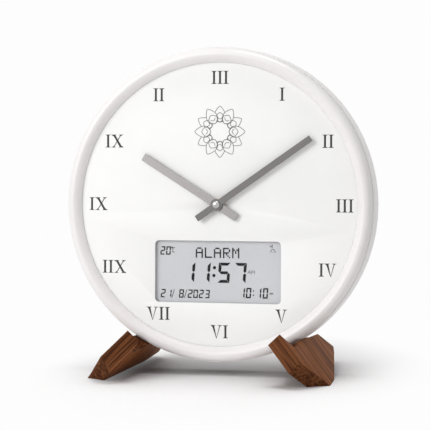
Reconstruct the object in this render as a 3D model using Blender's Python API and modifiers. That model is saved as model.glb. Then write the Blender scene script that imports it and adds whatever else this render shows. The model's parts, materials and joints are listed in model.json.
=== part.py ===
# Table clock with a round case, a liquid crystal display and two notched wooden feet
#
# Units are metres, +Z is up, the clock faces -Y and stands on Z = 0.
# The clock is modelled upright about the centre of its dial: X to the right, Z up and
# Y back from the crest of the bezel. An empty then leans it back on its feet.

import math

import bmesh
import bpy
from mathutils import Matrix, Vector

MM = 0.001

# General clearances and wall sizes
GAP = 0.3 * MM
OVERRUN = 2 * MM
WELD = 0.001 * MM
ROUND_STEPS = 72
SMALL_STEPS = 16
TINY_STEPS = 12
GEAR_ADDENDUM_SHARE = 0.45
GEAR_DEDENDUM_SHARE = 1.0

# Stance
GROUND_CLEARANCE = 12 * MM
LEAN = math.radians(4)

# Case
CASE_RADIUS = 150 * MM
CASE_WALL = 2.6 * MM
CASE_BACK_WALL = 2.5 * MM
CASE_BACK_EDGE = 3 * MM
BEZEL_OUTER_WIDTH = 8 * MM
BEZEL_INNER_WIDTH = 7 * MM
BEZEL_ROUND_DEPTH = 8 * MM
BEZEL_WALL = 2.4 * MM
BEZEL_ARC_STEPS = 5
BEZEL_INNER_ARC_STEPS = 2
BACK_CENTRE_BORE = 20 * MM

# Dial and display
DIAL_FRONT = 7 * MM
DIAL_THICKNESS = 2 * MM
DIAL_LAP = 3.2 * MM
DISPLAY_WIDTH = 123.7 * MM
DISPLAY_HEIGHT = 59.2 * MM
DISPLAY_DROP = 64 * MM
DISPLAY_CORNER = 4.1 * MM
WINDOW_LAP = 2.5 * MM
WINDOW_THICKNESS = 1.2 * MM
LCD_LAP = 1 * MM
LCD_THICKNESS = 2.8 * MM
LCD_FRAME_WALL = 3.4 * MM
LCD_FRAME_DEPTH = 5.7 * MM
CONNECTOR_INSET = 6.85 * MM
CONNECTOR_THICKNESS = 2.5 * MM
BOARD_THICKNESS = 1.6 * MM
CHIP_SIZE = 14 * MM
CHIP_HEIGHT = 1.8 * MM
CHIP_INSET = 16.55 * MM

# Case screws, their posts in the bezel and the ribs that hold the dial
SCREW_RADIUS = 1.1 * MM
SCREW_HEAD_RADIUS = 2.6 * MM
SCREW_HEAD_HEIGHT = 1.2 * MM
SCREW_LENGTH = 15 * MM
POST_RADIUS = 3.4 * MM
POST_COUNT = 4
RIB_ANGLES = (30, 150, 210, 330)
RIB_THICKNESS = 3 * MM
RIB_REACH = 4 * MM
RIB_SETBACK = 0.2 * MM

# Feet: a grip is measured in from the rim, a drop out from the rim and a reach along the
# depth, forward of the bezel's crest or back of the case
FOOT_ANGLE = math.radians(47)
FOOT_THICKNESS = 15 * MM
FOOT_OFFSET = 34 * MM
FOOT_BED_GRIP = 8 * MM
FOOT_SHOULDER_GRIP = 1 * MM
FOOT_NOTCH_DROP = 3 * MM
FOOT_NOTCH_REACH = 36 * MM
FOOT_PRONG_GRIP = 15 * MM
FOOT_PRONG_REACH = 46 * MM
FOOT_KNEE_DROP = 18 * MM
FOOT_KNEE_REACH = 59.5 * MM
FOOT_TOE_DROP = 43 * MM
FOOT_TOE_REACH = 36 * MM
FOOT_SOLE_DROP = 55 * MM
FOOT_SOLE_REACH = 28 * MM
FOOT_HEEL_DROP = 17.5 * MM
FOOT_HEEL_REACH = 60.5 * MM
FOOT_HEEL_EDGE_DROP = 23.5 * MM
FOOT_HEEL_EDGE_REACH = 44 * MM
FOOT_REAR_TOP_REACH = 44.5 * MM
FOOT_SCREW_RADIUS = 1.6 * MM
FOOT_SCREW_HEAD_RADIUS = 3.2 * MM
FOOT_SCREW_HEAD_HEIGHT = 2.2 * MM
FOOT_SCREW_LENGTH = 25 * MM
FOOT_SCREW_TIP = 3 * MM
FOOT_SCREW_DEPTHS = (13 * MM, 27 * MM)

# Hands
HAND_THICKNESS = 1.2 * MM
HAND_BOSS_RADIUS = 5.75 * MM
MINUTE_HAND_FRONT = 1.3 * MM
MINUTE_HAND_LENGTH = 111 * MM
MINUTE_HAND_TAIL = 23.6 * MM
MINUTE_HAND_WIDTH = 6.1 * MM
MINUTE_HAND_ANGLE = math.radians(55.2)
HOUR_HAND_FRONT = 3.3 * MM
HOUR_HAND_LENGTH = 85.5 * MM
HOUR_HAND_TAIL = 22.8 * MM
HOUR_HAND_WIDTH = 7.4 * MM
HOUR_HAND_ANGLE = math.radians(302)
CAP_RADIUS = 3.8 * MM
CAP_HEIGHT = 2.6 * MM

# Movement case
MOVEMENT_SIDE = 56 * MM
MOVEMENT_WALL = 1.5 * MM
MOVEMENT_CASE_DEPTH = 14.4 * MM
WASHER_RADIUS = 8 * MM
WASHER_THICKNESS = 1 * MM
NECK_RADIUS = 4 * MM
NECK_BORE = 2.9 * MM
NUT_RADIUS = 5.5 * MM
NUT_THICKNESS = 1.7 * MM
PARTITION_DROP = 9.3 * MM
PIVOT_RADIUS = 0.45 * MM
PIVOT_DEPTH = 0.6 * MM

# Wheels of the movement
ARBOR_RADIUS = 1.6 * MM
PIPE_RADIUS = 2.6 * MM
WHEEL_THICKNESS = 1 * MM
PINION_THICKNESS = 1.6 * MM
MOTION_MODULE = 0.4 * MM
CANNON_TEETH = 12
MINUTE_WHEEL_TEETH = 36
MINUTE_PINION_TEETH = 10
HOUR_WHEEL_TEETH = 40
KNOB_TEETH = 12
TRAIN_MODULE = 0.27 * MM
CENTRE_TEETH = 60
THIRD_PINION_TEETH = 6
ROTOR_MODULE = 0.3 * MM
THIRD_TEETH = 36
ROTOR_TEETH = 6
MINUTE_WHEEL_DIRECTION = math.radians(31.4)
KNOB_DIRECTION = math.radians(20)
THIRD_DIRECTION = math.radians(144)
ROTOR_DIRECTION = math.radians(100)
KNOB_RADIUS = 6 * MM
KNOB_THICKNESS = 3 * MM
KNOB_SHAFT_RADIUS = 1.5 * MM
KNOB_STEPS = 18

# Levels in the movement, back from the inner face of its front plate
HOUR_WHEEL_LEVEL = 0.5 * MM
CANNON_LEVEL = 2.2 * MM
CENTRE_WHEEL_LEVEL = 4.9 * MM
ROTOR_MAGNET_LEVEL = 5.3 * MM
STATOR_LEVEL = 6.4 * MM
THIRD_WHEEL_LEVEL = 9.9 * MM
ROTOR_MAGNET_RADIUS = 2.9 * MM
ROTOR_MAGNET_THICKNESS = 3.2 * MM
STATOR_THICKNESS = 1 * MM
STATOR_MARGIN = 1.4 * MM
STATOR_LEG = 5 * MM
STATOR_HALF_WIDTH = 14 * MM
STATOR_TOP = 24 * MM
COIL_RADIUS = 2.9 * MM
COIL_FLANGE = 7 * MM
COIL_CORE = 2 * MM
COIL_CORE_THICKNESS = 1 * MM
COIL_DROP = 6.5 * MM
MOVEMENT_BOARD_THICKNESS = 0.8 * MM
MOVEMENT_BOARD_WIDTH = 29 * MM
MOVEMENT_BOARD_HEIGHT = 13 * MM
CRYSTAL_RADIUS = 1 * MM
CRYSTAL_LENGTH = 6 * MM

# Cells and their contacts
CELL_RADIUS = 7 * MM
CELL_LENGTH = 50 * MM
CELL_NUB_RADIUS = 2.75 * MM
CELL_NUB_HEIGHT = 1.2 * MM
CONTACT_THICKNESS = 0.5 * MM
CONTACT_SIDE = 10 * MM
CONTACT_BULGE = 0.9 * MM
SPRING_RADIUS = 3.2 * MM
SPRING_LENGTH = 4.4 * MM
SPRING_WIRE = 0.35 * MM
SPRING_TURNS = 3
SPRING_POINTS_PER_TURN = 8

# Battery tray and cover
TRAY_WALL = 1.2 * MM
TRAY_HALF_LENGTH = 28.5 * MM
CELL_PITCH = 14.8 * MM
TRAY_FLANGE = 3 * MM
TRAY_FLANGE_THICKNESS = 1.2 * MM
COVER_LAP = 1.5 * MM
COVER_THICKNESS = 1.3 * MM
CELL_HEADROOM = 0.5 * MM
COVER_GRIP_WIDTH = 14 * MM
COVER_GRIP_HEIGHT = 1.6 * MM
COVER_GRIP_RISE = 0.8 * MM

# Well in the back that reaches the movement
WELL_MARGIN = 2 * MM
WELL_WALL = 1.5 * MM

# Loudspeaker
SPEAKER_ROW_MARGIN = 15 * MM
SPEAKER_RADIUS = 25 * MM
SPEAKER_RIM = 2.4 * MM
SPEAKER_RIM_THICKNESS = 1.3 * MM
SPEAKER_CONE_RADIUS = 21 * MM
SPEAKER_NECK_RADIUS = 11.5 * MM
SPEAKER_DEPTH = 10.3 * MM
SPEAKER_SHEET = 1.2 * MM
SPEAKER_VENT = 8 * MM
CONE_SHEET = 0.7 * MM
CONE_DEPTH = 5.7 * MM
DUST_CAP_RADIUS = 5 * MM
DUST_CAP_HEIGHT = 1.3 * MM
MAGNET_RADIUS = 14 * MM
MAGNET_THICKNESS = 7 * MM
SLOT_COUNT = 7
SLOT_PITCH = 6 * MM
SLOT_HEIGHT = 2.6 * MM

# Buttons and slide switch on the back
BUTTON_ROW_MARGIN = 7 * MM
BUTTON_COUNT = 4
BUTTON_PITCH = 22 * MM
BUTTON_RADIUS = 4 * MM
BUTTON_RISE = 1.4 * MM
BUTTON_FLANGE_LAP = 1.5 * MM
BUTTON_FLANGE_THICKNESS = 1.5 * MM
BUTTON_STEM = 2.2 * MM
BUTTON_CHAMFER = 0.5 * MM
BUTTON_TRAVEL = 1 * MM
MEMBRANE_THICKNESS = 1 * MM
MEMBRANE_HEIGHT = 10 * MM
DOME_RADIUS = 3.2 * MM
DOME_HEIGHT = 1 * MM
BUTTON_BOARD_HEIGHT = 12 * MM
BUTTON_BOARD_MARGIN = 12 * MM
BOARD_POST_RADIUS = 2.5 * MM
SWITCH_OFFSET = 54 * MM
SWITCH_BODY_LENGTH = 13 * MM
SWITCH_BODY_HEIGHT = 7 * MM
SWITCH_BASE_LENGTH = 9 * MM
SWITCH_BASE_HEIGHT = 6 * MM
SWITCH_BASE_THICKNESS = 1.5 * MM
SWITCH_GRIP = 4 * MM
SWITCH_GRIP_RISE = 1 * MM
SWITCH_TRAVEL = 4 * MM

# Finishes: colour, roughness and metallic value
FINISHES = {
    "white plastic": ((0.86, 0.85, 0.84), 0.3, 0.0),
    "dial white": ((0.9, 0.9, 0.89), 0.6, 0.0),
    "clear plastic": ((0.75, 0.77, 0.78), 0.1, 0.0),
    "display grey": ((0.6, 0.62, 0.63), 0.25, 0.0),
    "black plastic": ((0.03, 0.03, 0.03), 0.5, 0.0),
    "walnut": ((0.17, 0.08, 0.045), 0.45, 0.0),
    "dark metal": ((0.16, 0.15, 0.15), 0.35, 0.8),
    "brushed metal": ((0.45, 0.44, 0.44), 0.35, 0.9),
    "chrome": ((0.8, 0.8, 0.8), 0.08, 1.0),
    "steel": ((0.5, 0.5, 0.5), 0.35, 1.0),
    "brass": ((0.7, 0.5, 0.2), 0.3, 1.0),
    "copper": ((0.6, 0.25, 0.1), 0.4, 1.0),
    "natural plastic": ((0.85, 0.83, 0.78), 0.5, 0.0),
    "green board": ((0.05, 0.25, 0.1), 0.5, 0.0),
    "rubber": ((0.05, 0.05, 0.05), 0.8, 0.0),
    "grey rubber": ((0.4, 0.4, 0.42), 0.8, 0.0),
    "cell wrap": ((0.1, 0.25, 0.16), 0.4, 0.2),
    "paper cone": ((0.04, 0.04, 0.045), 0.9, 0.0),
}

# Places that several pieces share
CENTRE_HEIGHT = CASE_RADIUS + GROUND_CLEARANCE
BEZEL_CREST_RADIUS = CASE_RADIUS - BEZEL_OUTER_WIDTH
BEZEL_OPENING_RADIUS = BEZEL_CREST_RADIUS - BEZEL_INNER_WIDTH
FOOT_BED_RADIUS = CASE_RADIUS - FOOT_BED_GRIP
FOOT_SHOULDER_RADIUS = CASE_RADIUS - FOOT_SHOULDER_GRIP
FOOT_KNEE_RADIUS = CASE_RADIUS + FOOT_KNEE_DROP
FOOT_HEEL_RADIUS = CASE_RADIUS + FOOT_HEEL_DROP
DIAL_BACK = DIAL_FRONT + DIAL_THICKNESS
BEZEL_BACK = DIAL_BACK
HOUSING_FRONT = BEZEL_BACK + GAP
CASE_INNER_RADIUS = CASE_RADIUS - CASE_WALL
BEZEL_LIP_BACK = DIAL_FRONT - GAP
MOVEMENT_FRONT = DIAL_BACK + GAP + WASHER_THICKNESS + GAP
PLATE_INNER = MOVEMENT_FRONT + MOVEMENT_WALL
COVER_PLATE_FRONT = MOVEMENT_FRONT + MOVEMENT_CASE_DEPTH + GAP
COVER_PLATE_BACK = COVER_PLATE_FRONT + MOVEMENT_WALL
MOVEMENT_HALF = MOVEMENT_SIDE / 2
MOVEMENT_INNER_HALF = MOVEMENT_HALF - MOVEMENT_WALL
CELL_WELL_TOP = PARTITION_DROP + MOVEMENT_WALL
NECK_FRONT = HOUR_HAND_FRONT + HAND_THICKNESS + GAP
NUT_FRONT = DIAL_FRONT - GAP - NUT_THICKNESS
ARBOR_BORE = ARBOR_RADIUS + GAP
LCD_FRONT = DIAL_BACK + GAP + WINDOW_THICKNESS + GAP
MAIN_BOARD_FRONT = LCD_FRONT + LCD_FRAME_DEPTH + GAP
MAIN_BOARD_BACK = MAIN_BOARD_FRONT + BOARD_THICKNESS
LCD_WIDTH = DISPLAY_WIDTH + 2 * LCD_LAP
LCD_HEIGHT = DISPLAY_HEIGHT + 2 * LCD_LAP
FRAME_WIDTH = LCD_WIDTH + 2 * (GAP + LCD_FRAME_WALL)
FRAME_HEIGHT = LCD_HEIGHT + 2 * (GAP + LCD_FRAME_WALL)
CONNECTOR_LENGTH = DISPLAY_WIDTH - 2 * CONNECTOR_INSET
CHIP_OFFSET = FRAME_WIDTH / 2 - CHIP_INSET
TRAY_FLOOR = MAIN_BOARD_BACK + GAP
TRAY_INNER_FLOOR = TRAY_FLOOR + TRAY_WALL
TRAY_HALF_HEIGHT = CELL_PITCH / 2 + CELL_RADIUS + GAP
TRAY_CELL_DEPTH = TRAY_INNER_FLOOR + GAP + CELL_RADIUS
CASE_DEPTH = TRAY_CELL_DEPTH + CELL_RADIUS + CELL_HEADROOM + COVER_THICKNESS
BACK_WALL_FRONT = CASE_DEPTH - CASE_BACK_WALL
TRAY_BACK = BACK_WALL_FRONT - GAP
COVER_HALF_LENGTH = TRAY_HALF_LENGTH + COVER_LAP
COVER_HALF_HEIGHT = TRAY_HALF_HEIGHT + COVER_LAP
WELL_HALF = MOVEMENT_HALF + WELL_MARGIN + WELL_WALL
BUTTON_ROW_HEIGHT = WELL_HALF + BUTTON_RADIUS + BUTTON_FLANGE_LAP + BUTTON_ROW_MARGIN
SPEAKER_HEIGHT = BUTTON_ROW_HEIGHT + SPEAKER_RADIUS + SPEAKER_ROW_MARGIN
BUTTON_FLANGE_BACK = BACK_WALL_FRONT - GAP
BUTTON_FLANGE_FRONT = BUTTON_FLANGE_BACK - BUTTON_FLANGE_THICKNESS
BUTTON_FRONT = BUTTON_FLANGE_FRONT - BUTTON_STEM
MEMBRANE_FRONT = BUTTON_FRONT - BUTTON_TRAVEL - GAP - DOME_HEIGHT - MEMBRANE_THICKNESS
BUTTON_BOARD_FRONT = MEMBRANE_FRONT - GAP - BOARD_THICKNESS
BUTTON_BOARD_BACK = BUTTON_BOARD_FRONT + BOARD_THICKNESS
BUTTON_ROW_HALF = BUTTON_PITCH * (BUTTON_COUNT - 1) / 2
BUTTON_BOARD_LEFT = -BUTTON_ROW_HALF - BUTTON_BOARD_MARGIN
BUTTON_BOARD_RIGHT = SWITCH_OFFSET + SWITCH_TRAVEL + BUTTON_BOARD_MARGIN


# Gear places, as (x, z) from the hands' axis
def along(start, distance, direction):
    return (start[0] + distance * math.cos(direction), start[1] + distance * math.sin(direction))


HAND_AXIS = (0.0, 0.0)
MOTION_DISTANCE = MOTION_MODULE * (CANNON_TEETH + MINUTE_WHEEL_TEETH) / 2
HOUR_MODULE = 2 * MOTION_DISTANCE / (MINUTE_PINION_TEETH + HOUR_WHEEL_TEETH)
KNOB_DISTANCE = MOTION_MODULE * (MINUTE_WHEEL_TEETH + KNOB_TEETH) / 2
THIRD_DISTANCE = TRAIN_MODULE * (CENTRE_TEETH + THIRD_PINION_TEETH) / 2
ROTOR_DISTANCE = ROTOR_MODULE * (THIRD_TEETH + ROTOR_TEETH) / 2
MINUTE_WHEEL_AXIS = along(HAND_AXIS, MOTION_DISTANCE, MINUTE_WHEEL_DIRECTION)
KNOB_AXIS = along(MINUTE_WHEEL_AXIS, KNOB_DISTANCE, KNOB_DIRECTION)
THIRD_AXIS = along(HAND_AXIS, THIRD_DISTANCE, THIRD_DIRECTION)
ROTOR_AXIS = along(THIRD_AXIS, ROTOR_DISTANCE, ROTOR_DIRECTION)

for old in list(bpy.data.objects):
    bpy.data.objects.remove(old, do_unlink=True)

clock = bpy.data.collections.new("table_clock")
cutters = bpy.data.collections.new("cutters")
bpy.context.scene.collection.children.link(clock)
bpy.context.scene.collection.children.link(cutters)


def world_depth(radius, depth, tangent):
    """Depth in the world of a point on a foot, before the clock is centred."""
    height = -radius * math.sin(FOOT_ANGLE) + tangent * math.cos(FOOT_ANGLE)
    return depth * math.cos(LEAN) + height * math.sin(LEAN)


def centred_depth():
    """Depth that puts the middle of the feet, front to back, at Y = 0."""
    inner = -FOOT_OFFSET - FOOT_THICKNESS / 2
    outer = -FOOT_OFFSET + FOOT_THICKNESS / 2
    front = world_depth(FOOT_KNEE_RADIUS, -FOOT_KNEE_REACH, inner)
    back = world_depth(FOOT_HEEL_RADIUS, CASE_DEPTH + FOOT_HEEL_REACH, outer)
    return -(front + back) / 2


tilt = bpy.data.objects.new("leaning_clock", None)
tilt.location = (0, centred_depth(), CENTRE_HEIGHT)
tilt.rotation_euler = (-LEAN, 0, 0)
clock.objects.link(tilt)


# Modelling helpers
def finish(obj, name):
    colour, roughness, metallic = FINISHES[name]
    material = bpy.data.materials.new(obj.name)
    material.use_nodes = True
    shader = material.node_tree.nodes["Principled BSDF"]
    shader.inputs["Base Color"].default_value = (*colour, 1)
    shader.inputs["Roughness"].default_value = roughness
    shader.inputs["Metallic"].default_value = metallic
    obj.data.materials.clear()
    obj.data.materials.append(material)
    return obj


def place(name, data, location, collection=clock, parent=tilt):
    obj = bpy.data.objects.new(name, data)
    obj.location = location
    obj.parent = parent
    collection.objects.link(obj)
    return obj


def from_bmesh(name, bm):
    mesh = bpy.data.meshes.new(name)
    bm.to_mesh(mesh)
    bm.free()
    return mesh


def block(name, size, centre):
    """A box with its sides along the clock's axes."""
    bm = bmesh.new()
    bmesh.ops.create_cube(bm, size=1, matrix=Matrix.Diagonal((*size, 1)))
    return place(name, from_bmesh(name, bm), centre)


def slab(name, width, height, front, back, x=0.0, z=0.0):
    """A box between two depths."""
    return block(name, (width, back - front, height), (x, (front + back) / 2, z))


def rod(name, radius, front, back, axis=HAND_AXIS, steps=SMALL_STEPS):
    """A cylinder that runs front to back."""
    bm = bmesh.new()
    turn = Matrix.Rotation(math.pi / 2, 4, "X")
    bmesh.ops.create_cone(bm, cap_ends=True, segments=steps, radius1=radius, radius2=radius,
                          depth=back - front, matrix=turn)
    mesh = from_bmesh(name, bm)
    mesh.shade_smooth()
    mesh.set_sharp_from_angle(angle=math.radians(40))
    return place(name, mesh, (axis[0], (front + back) / 2, axis[1]))


def turned(name, profile, steps=ROUND_STEPS, location=(0, 0, 0), ring=False):
    """A profile of (radius, depth) points turned about the depth axis, back to front."""
    bm = bmesh.new()
    points = [bm.verts.new((radius, depth, 0)) for radius, depth in profile]
    for first, second in zip(points, points[1:]):
        bm.edges.new((first, second))
    if ring:
        bm.edges.new((points[-1], points[0]))
    obj = place(name, from_bmesh(name, bm), location)
    screw = obj.modifiers.new("turn", "SCREW")
    screw.axis = "Y"
    screw.steps = steps
    screw.render_steps = steps
    screw.use_merge_vertices = True
    screw.merge_threshold = WELD
    return obj


def sheet(name, outlines, front, back, axis=HAND_AXIS):
    """Closed outlines of (x, z) points, holes included, made as thick as the two depths."""
    return plate(name, outlines, back - front, Matrix.Rotation(math.pi / 2, 4, "X"),
                 (axis[0], (front + back) / 2, axis[1]))


def plate(name, outlines, thickness, turn, location):
    """The closed mesh of flat outlines, made thick both ways, turned and placed."""
    curve = bpy.data.curves.new(name, "CURVE")
    curve.dimensions = "2D"
    curve.fill_mode = "BOTH"
    curve.extrude = thickness / 2
    for outline in outlines:
        spline = curve.splines.new("POLY")
        spline.points.add(len(outline) - 1)
        for point, (across, up) in zip(spline.points, outline):
            point.co = (across, up, 0, 1)
        spline.use_cyclic_u = True
    return as_mesh(name, curve, turn, location)


def as_mesh(name, curve, turn, location):
    """The closed mesh of a curve, turned and placed."""
    source = bpy.data.objects.new(name, curve)
    cutters.objects.link(source)
    graph = bpy.context.evaluated_depsgraph_get()
    mesh = bpy.data.meshes.new_from_object(source.evaluated_get(graph))
    bpy.data.objects.remove(source, do_unlink=True)
    mesh.transform(turn)
    bm = bmesh.new()
    bm.from_mesh(mesh)
    bmesh.ops.remove_doubles(bm, verts=bm.verts, dist=WELD)
    bm.to_mesh(mesh)
    bm.free()
    return place(name, mesh, location)


def combine(obj, tool, operation):
    for collection in list(tool.users_collection):
        collection.objects.unlink(tool)
    cutters.objects.link(tool)
    tool.hide_render = True
    tool.display_type = "WIRE"
    boolean = obj.modifiers.new(operation.lower(), "BOOLEAN")
    boolean.operation = operation
    boolean.solver = "EXACT"
    boolean.object = tool
    return obj


def cut(obj, *tools):
    for tool in tools:
        combine(obj, tool, "DIFFERENCE")
    return obj


def join(obj, *tools):
    for tool in tools:
        combine(obj, tool, "UNION")
    return obj


def aim(obj, direction):
    """Turn an object so that its own Y axis points along a direction."""
    obj.rotation_mode = "QUATERNION"
    obj.rotation_quaternion = Vector((0, 1, 0)).rotation_difference(Vector(direction))
    return obj


def arc(centre, semi_axes, start, stop, steps):
    """Points on an ellipse, angles in degrees."""
    points = []
    for step in range(steps + 1):
        angle = math.radians(start + (stop - start) * step / steps)
        points.append((centre[0] + semi_axes[0] * math.cos(angle),
                       centre[1] + semi_axes[1] * math.sin(angle)))
    return points


def circle(radius, steps=SMALL_STEPS):
    return arc((0, 0), (radius, radius), 0, 360, steps)[:-1]


def rectangle(width, height, x=0.0, z=0.0):
    half = (width / 2, height / 2)
    return [(x - half[0], z - half[1]), (x + half[0], z - half[1]),
            (x + half[0], z + half[1]), (x - half[0], z + half[1])]


def rounded_rectangle(width, height, corner, z=0.0, steps=4):
    points = []
    reach = (width / 2 - corner, height / 2 - corner)
    for turn, (x, up) in enumerate(((1, 1), (-1, 1), (-1, -1), (1, -1))):
        centre = (x * reach[0], z + up * reach[1])
        points += arc(centre, (corner, corner), 90 * turn, 90 * turn + 90, steps)
    return points


def gear(teeth, module, phase=0.0):
    """Outline of a gear with straight flanks, a tooth at the phase angle."""
    pitch_radius = module * teeth / 2
    points = []
    for tooth in range(teeth):
        angle = phase + 2 * math.pi * tooth / teeth
        root_angle = angle + math.pi / teeth
        tip = pitch_radius + GEAR_ADDENDUM_SHARE * module
        root = pitch_radius - GEAR_DEDENDUM_SHARE * module
        points.append((tip * math.cos(angle), tip * math.sin(angle)))
        points.append((root * math.cos(root_angle), root * math.sin(root_angle)))
    return points


def meshing_phase(teeth, phase, other_teeth, direction):
    """Phase of the other gear, in this direction, whose gaps take these teeth."""
    lead = (phase - direction) % (2 * math.pi / teeth)
    return direction + math.pi - lead * teeth / other_teeth + math.pi / other_teeth


def fastener(name, radius, length, head_radius, head_height, tip):
    """A screw along its own Y axis, with the top of its head at the origin."""
    return turned(name, [(0, 0), (head_radius, 0), (head_radius, -head_height),
                         (radius, -head_height), (radius, -length), (0, -length - tip)],
                  TINY_STEPS)


# Case
def front_bezel():
    crest = (BEZEL_CREST_RADIUS, 0)
    outer_round = (CASE_RADIUS - BEZEL_CREST_RADIUS, BEZEL_ROUND_DEPTH)
    inner_round = (BEZEL_CREST_RADIUS - BEZEL_OPENING_RADIUS, BEZEL_LIP_BACK)
    profile = [(CASE_RADIUS, BEZEL_BACK)]
    profile += arc((crest[0], outer_round[1]), outer_round, 0, -90, BEZEL_ARC_STEPS)
    profile += arc((crest[0], inner_round[1]), inner_round, -90, -180, BEZEL_ARC_STEPS)[1:]
    hollow_in = (inner_round[0] - BEZEL_WALL, inner_round[1] - BEZEL_WALL)
    hollow_out = (outer_round[0] - BEZEL_WALL, outer_round[1] - BEZEL_WALL)
    profile += arc((crest[0], inner_round[1]), hollow_in, -180, -90, BEZEL_INNER_ARC_STEPS)
    profile += arc((crest[0], outer_round[1]), hollow_out, -90, 0, BEZEL_INNER_ARC_STEPS)[1:]
    profile.append((CASE_RADIUS - BEZEL_WALL, BEZEL_BACK))
    bezel = turned("front_bezel", profile, ring=True)
    for post in range(POST_COUNT):
        axis = along(HAND_AXIS, BEZEL_CREST_RADIUS, 2 * math.pi * post / POST_COUNT)
        join(bezel, rod("screw_post", POST_RADIUS, BEZEL_WALL / 2, BACK_WALL_FRONT - GAP, axis))
    for post in range(POST_COUNT):
        axis = along(HAND_AXIS, BEZEL_CREST_RADIUS, 2 * math.pi * post / POST_COUNT)
        bore = SCREW_RADIUS + GAP
        cut(bezel, rod("pilot_hole", bore, CASE_DEPTH - SCREW_LENGTH - OVERRUN, CASE_DEPTH, axis,
                       TINY_STEPS))
    return finish(bezel, "white plastic")


def rear_housing():
    edge = (CASE_RADIUS - CASE_BACK_EDGE, CASE_DEPTH - CASE_BACK_EDGE)
    profile = [(BACK_CENTRE_BORE, CASE_DEPTH)]
    profile += arc(edge, (CASE_BACK_EDGE, CASE_BACK_EDGE), 90, 0, 3)
    profile += [(CASE_RADIUS, HOUSING_FRONT), (CASE_INNER_RADIUS, HOUSING_FRONT),
                (CASE_INNER_RADIUS, BACK_WALL_FRONT), (BACK_CENTRE_BORE, BACK_WALL_FRONT)]
    housing = turned("rear_housing", profile, ring=True)
    overlap_depth = BACK_WALL_FRONT + CASE_BACK_WALL / 2
    well = 2 * (WELL_HALF - WELL_WALL)
    join(housing, slab("well_wall", 2 * WELL_HALF, 2 * WELL_HALF, COVER_PLATE_BACK + GAP,
                       overlap_depth))
    rib_inner = BEZEL_OPENING_RADIUS + DIAL_LAP - RIB_REACH
    rib_outer = CASE_INNER_RADIUS + CASE_WALL / 2
    for angle in RIB_ANGLES:
        direction = math.radians(angle)
        middle = along(HAND_AXIS, (rib_inner + rib_outer) / 2, direction)
        rib = slab("dial_rib", rib_outer - rib_inner, RIB_THICKNESS,
                   HOUSING_FRONT + RIB_SETBACK, overlap_depth, *middle)
        rib.rotation_euler = (0, -direction, 0)
        join(housing, rib)
    post_inset = BOARD_POST_RADIUS + GAP
    for x in (BUTTON_BOARD_LEFT + post_inset, BUTTON_BOARD_RIGHT - post_inset):
        join(housing, rod("board_post", BOARD_POST_RADIUS, BUTTON_BOARD_BACK + GAP,
                          overlap_depth, (x, BUTTON_ROW_HEIGHT), TINY_STEPS))
    outside = CASE_DEPTH + OVERRUN
    cut(housing, slab("well_opening", well, well, COVER_PLATE_BACK - OVERRUN, outside))
    cut(housing, slab("battery_opening", 2 * (COVER_HALF_LENGTH + GAP),
                      2 * (COVER_HALF_HEIGHT + GAP), BACK_WALL_FRONT - GAP / 2, outside,
                      z=-DISPLAY_DROP))
    inside = BACK_WALL_FRONT - GAP
    for button in range(BUTTON_COUNT):
        axis = (button * BUTTON_PITCH - BUTTON_ROW_HALF, BUTTON_ROW_HEIGHT)
        cut(housing, rod("button_hole", BUTTON_RADIUS + GAP, inside, outside, axis))
    cut(housing, slab("switch_slot", SWITCH_GRIP + SWITCH_TRAVEL + 2 * GAP,
                      SWITCH_GRIP + 2 * GAP, inside, outside,
                      SWITCH_OFFSET + SWITCH_TRAVEL / 2, BUTTON_ROW_HEIGHT))
    for slot in range(SLOT_COUNT):
        offset = (slot - (SLOT_COUNT - 1) / 2) * SLOT_PITCH
        length = 2 * math.sqrt(SPEAKER_CONE_RADIUS ** 2 - offset ** 2)
        cut(housing, slab("speaker_slot", length, SLOT_HEIGHT, inside, outside, 0,
                          SPEAKER_HEIGHT + offset))
    for post in range(POST_COUNT):
        axis = along(HAND_AXIS, BEZEL_CREST_RADIUS, 2 * math.pi * post / POST_COUNT)
        cut(housing, rod("screw_hole", SCREW_RADIUS + GAP, inside, outside, axis, TINY_STEPS))
        cut(housing, rod("screw_head_seat", SCREW_HEAD_RADIUS + GAP,
                         CASE_DEPTH - SCREW_HEAD_HEIGHT - GAP, outside, axis, TINY_STEPS))
    return finish(housing, "white plastic")


def case_screws():
    for post in range(POST_COUNT):
        axis = along(HAND_AXIS, BEZEL_CREST_RADIUS, 2 * math.pi * post / POST_COUNT)
        screw = fastener(f"case_screw_{post + 1}", SCREW_RADIUS, SCREW_LENGTH,
                         SCREW_HEAD_RADIUS, SCREW_HEAD_HEIGHT, SCREW_RADIUS)
        screw.location = (axis[0], CASE_DEPTH, axis[1])
        finish(screw, "steel")


# Dial and display
def dial_plate():
    outline = circle(BEZEL_OPENING_RADIUS + DIAL_LAP, ROUND_STEPS)
    opening = rounded_rectangle(DISPLAY_WIDTH, DISPLAY_HEIGHT, DISPLAY_CORNER, -DISPLAY_DROP)
    shaft_hole = circle(NECK_RADIUS + GAP)
    dial = sheet("dial_plate", [outline, opening, shaft_hole], DIAL_FRONT, DIAL_BACK)
    return finish(dial, "dial white")


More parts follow.
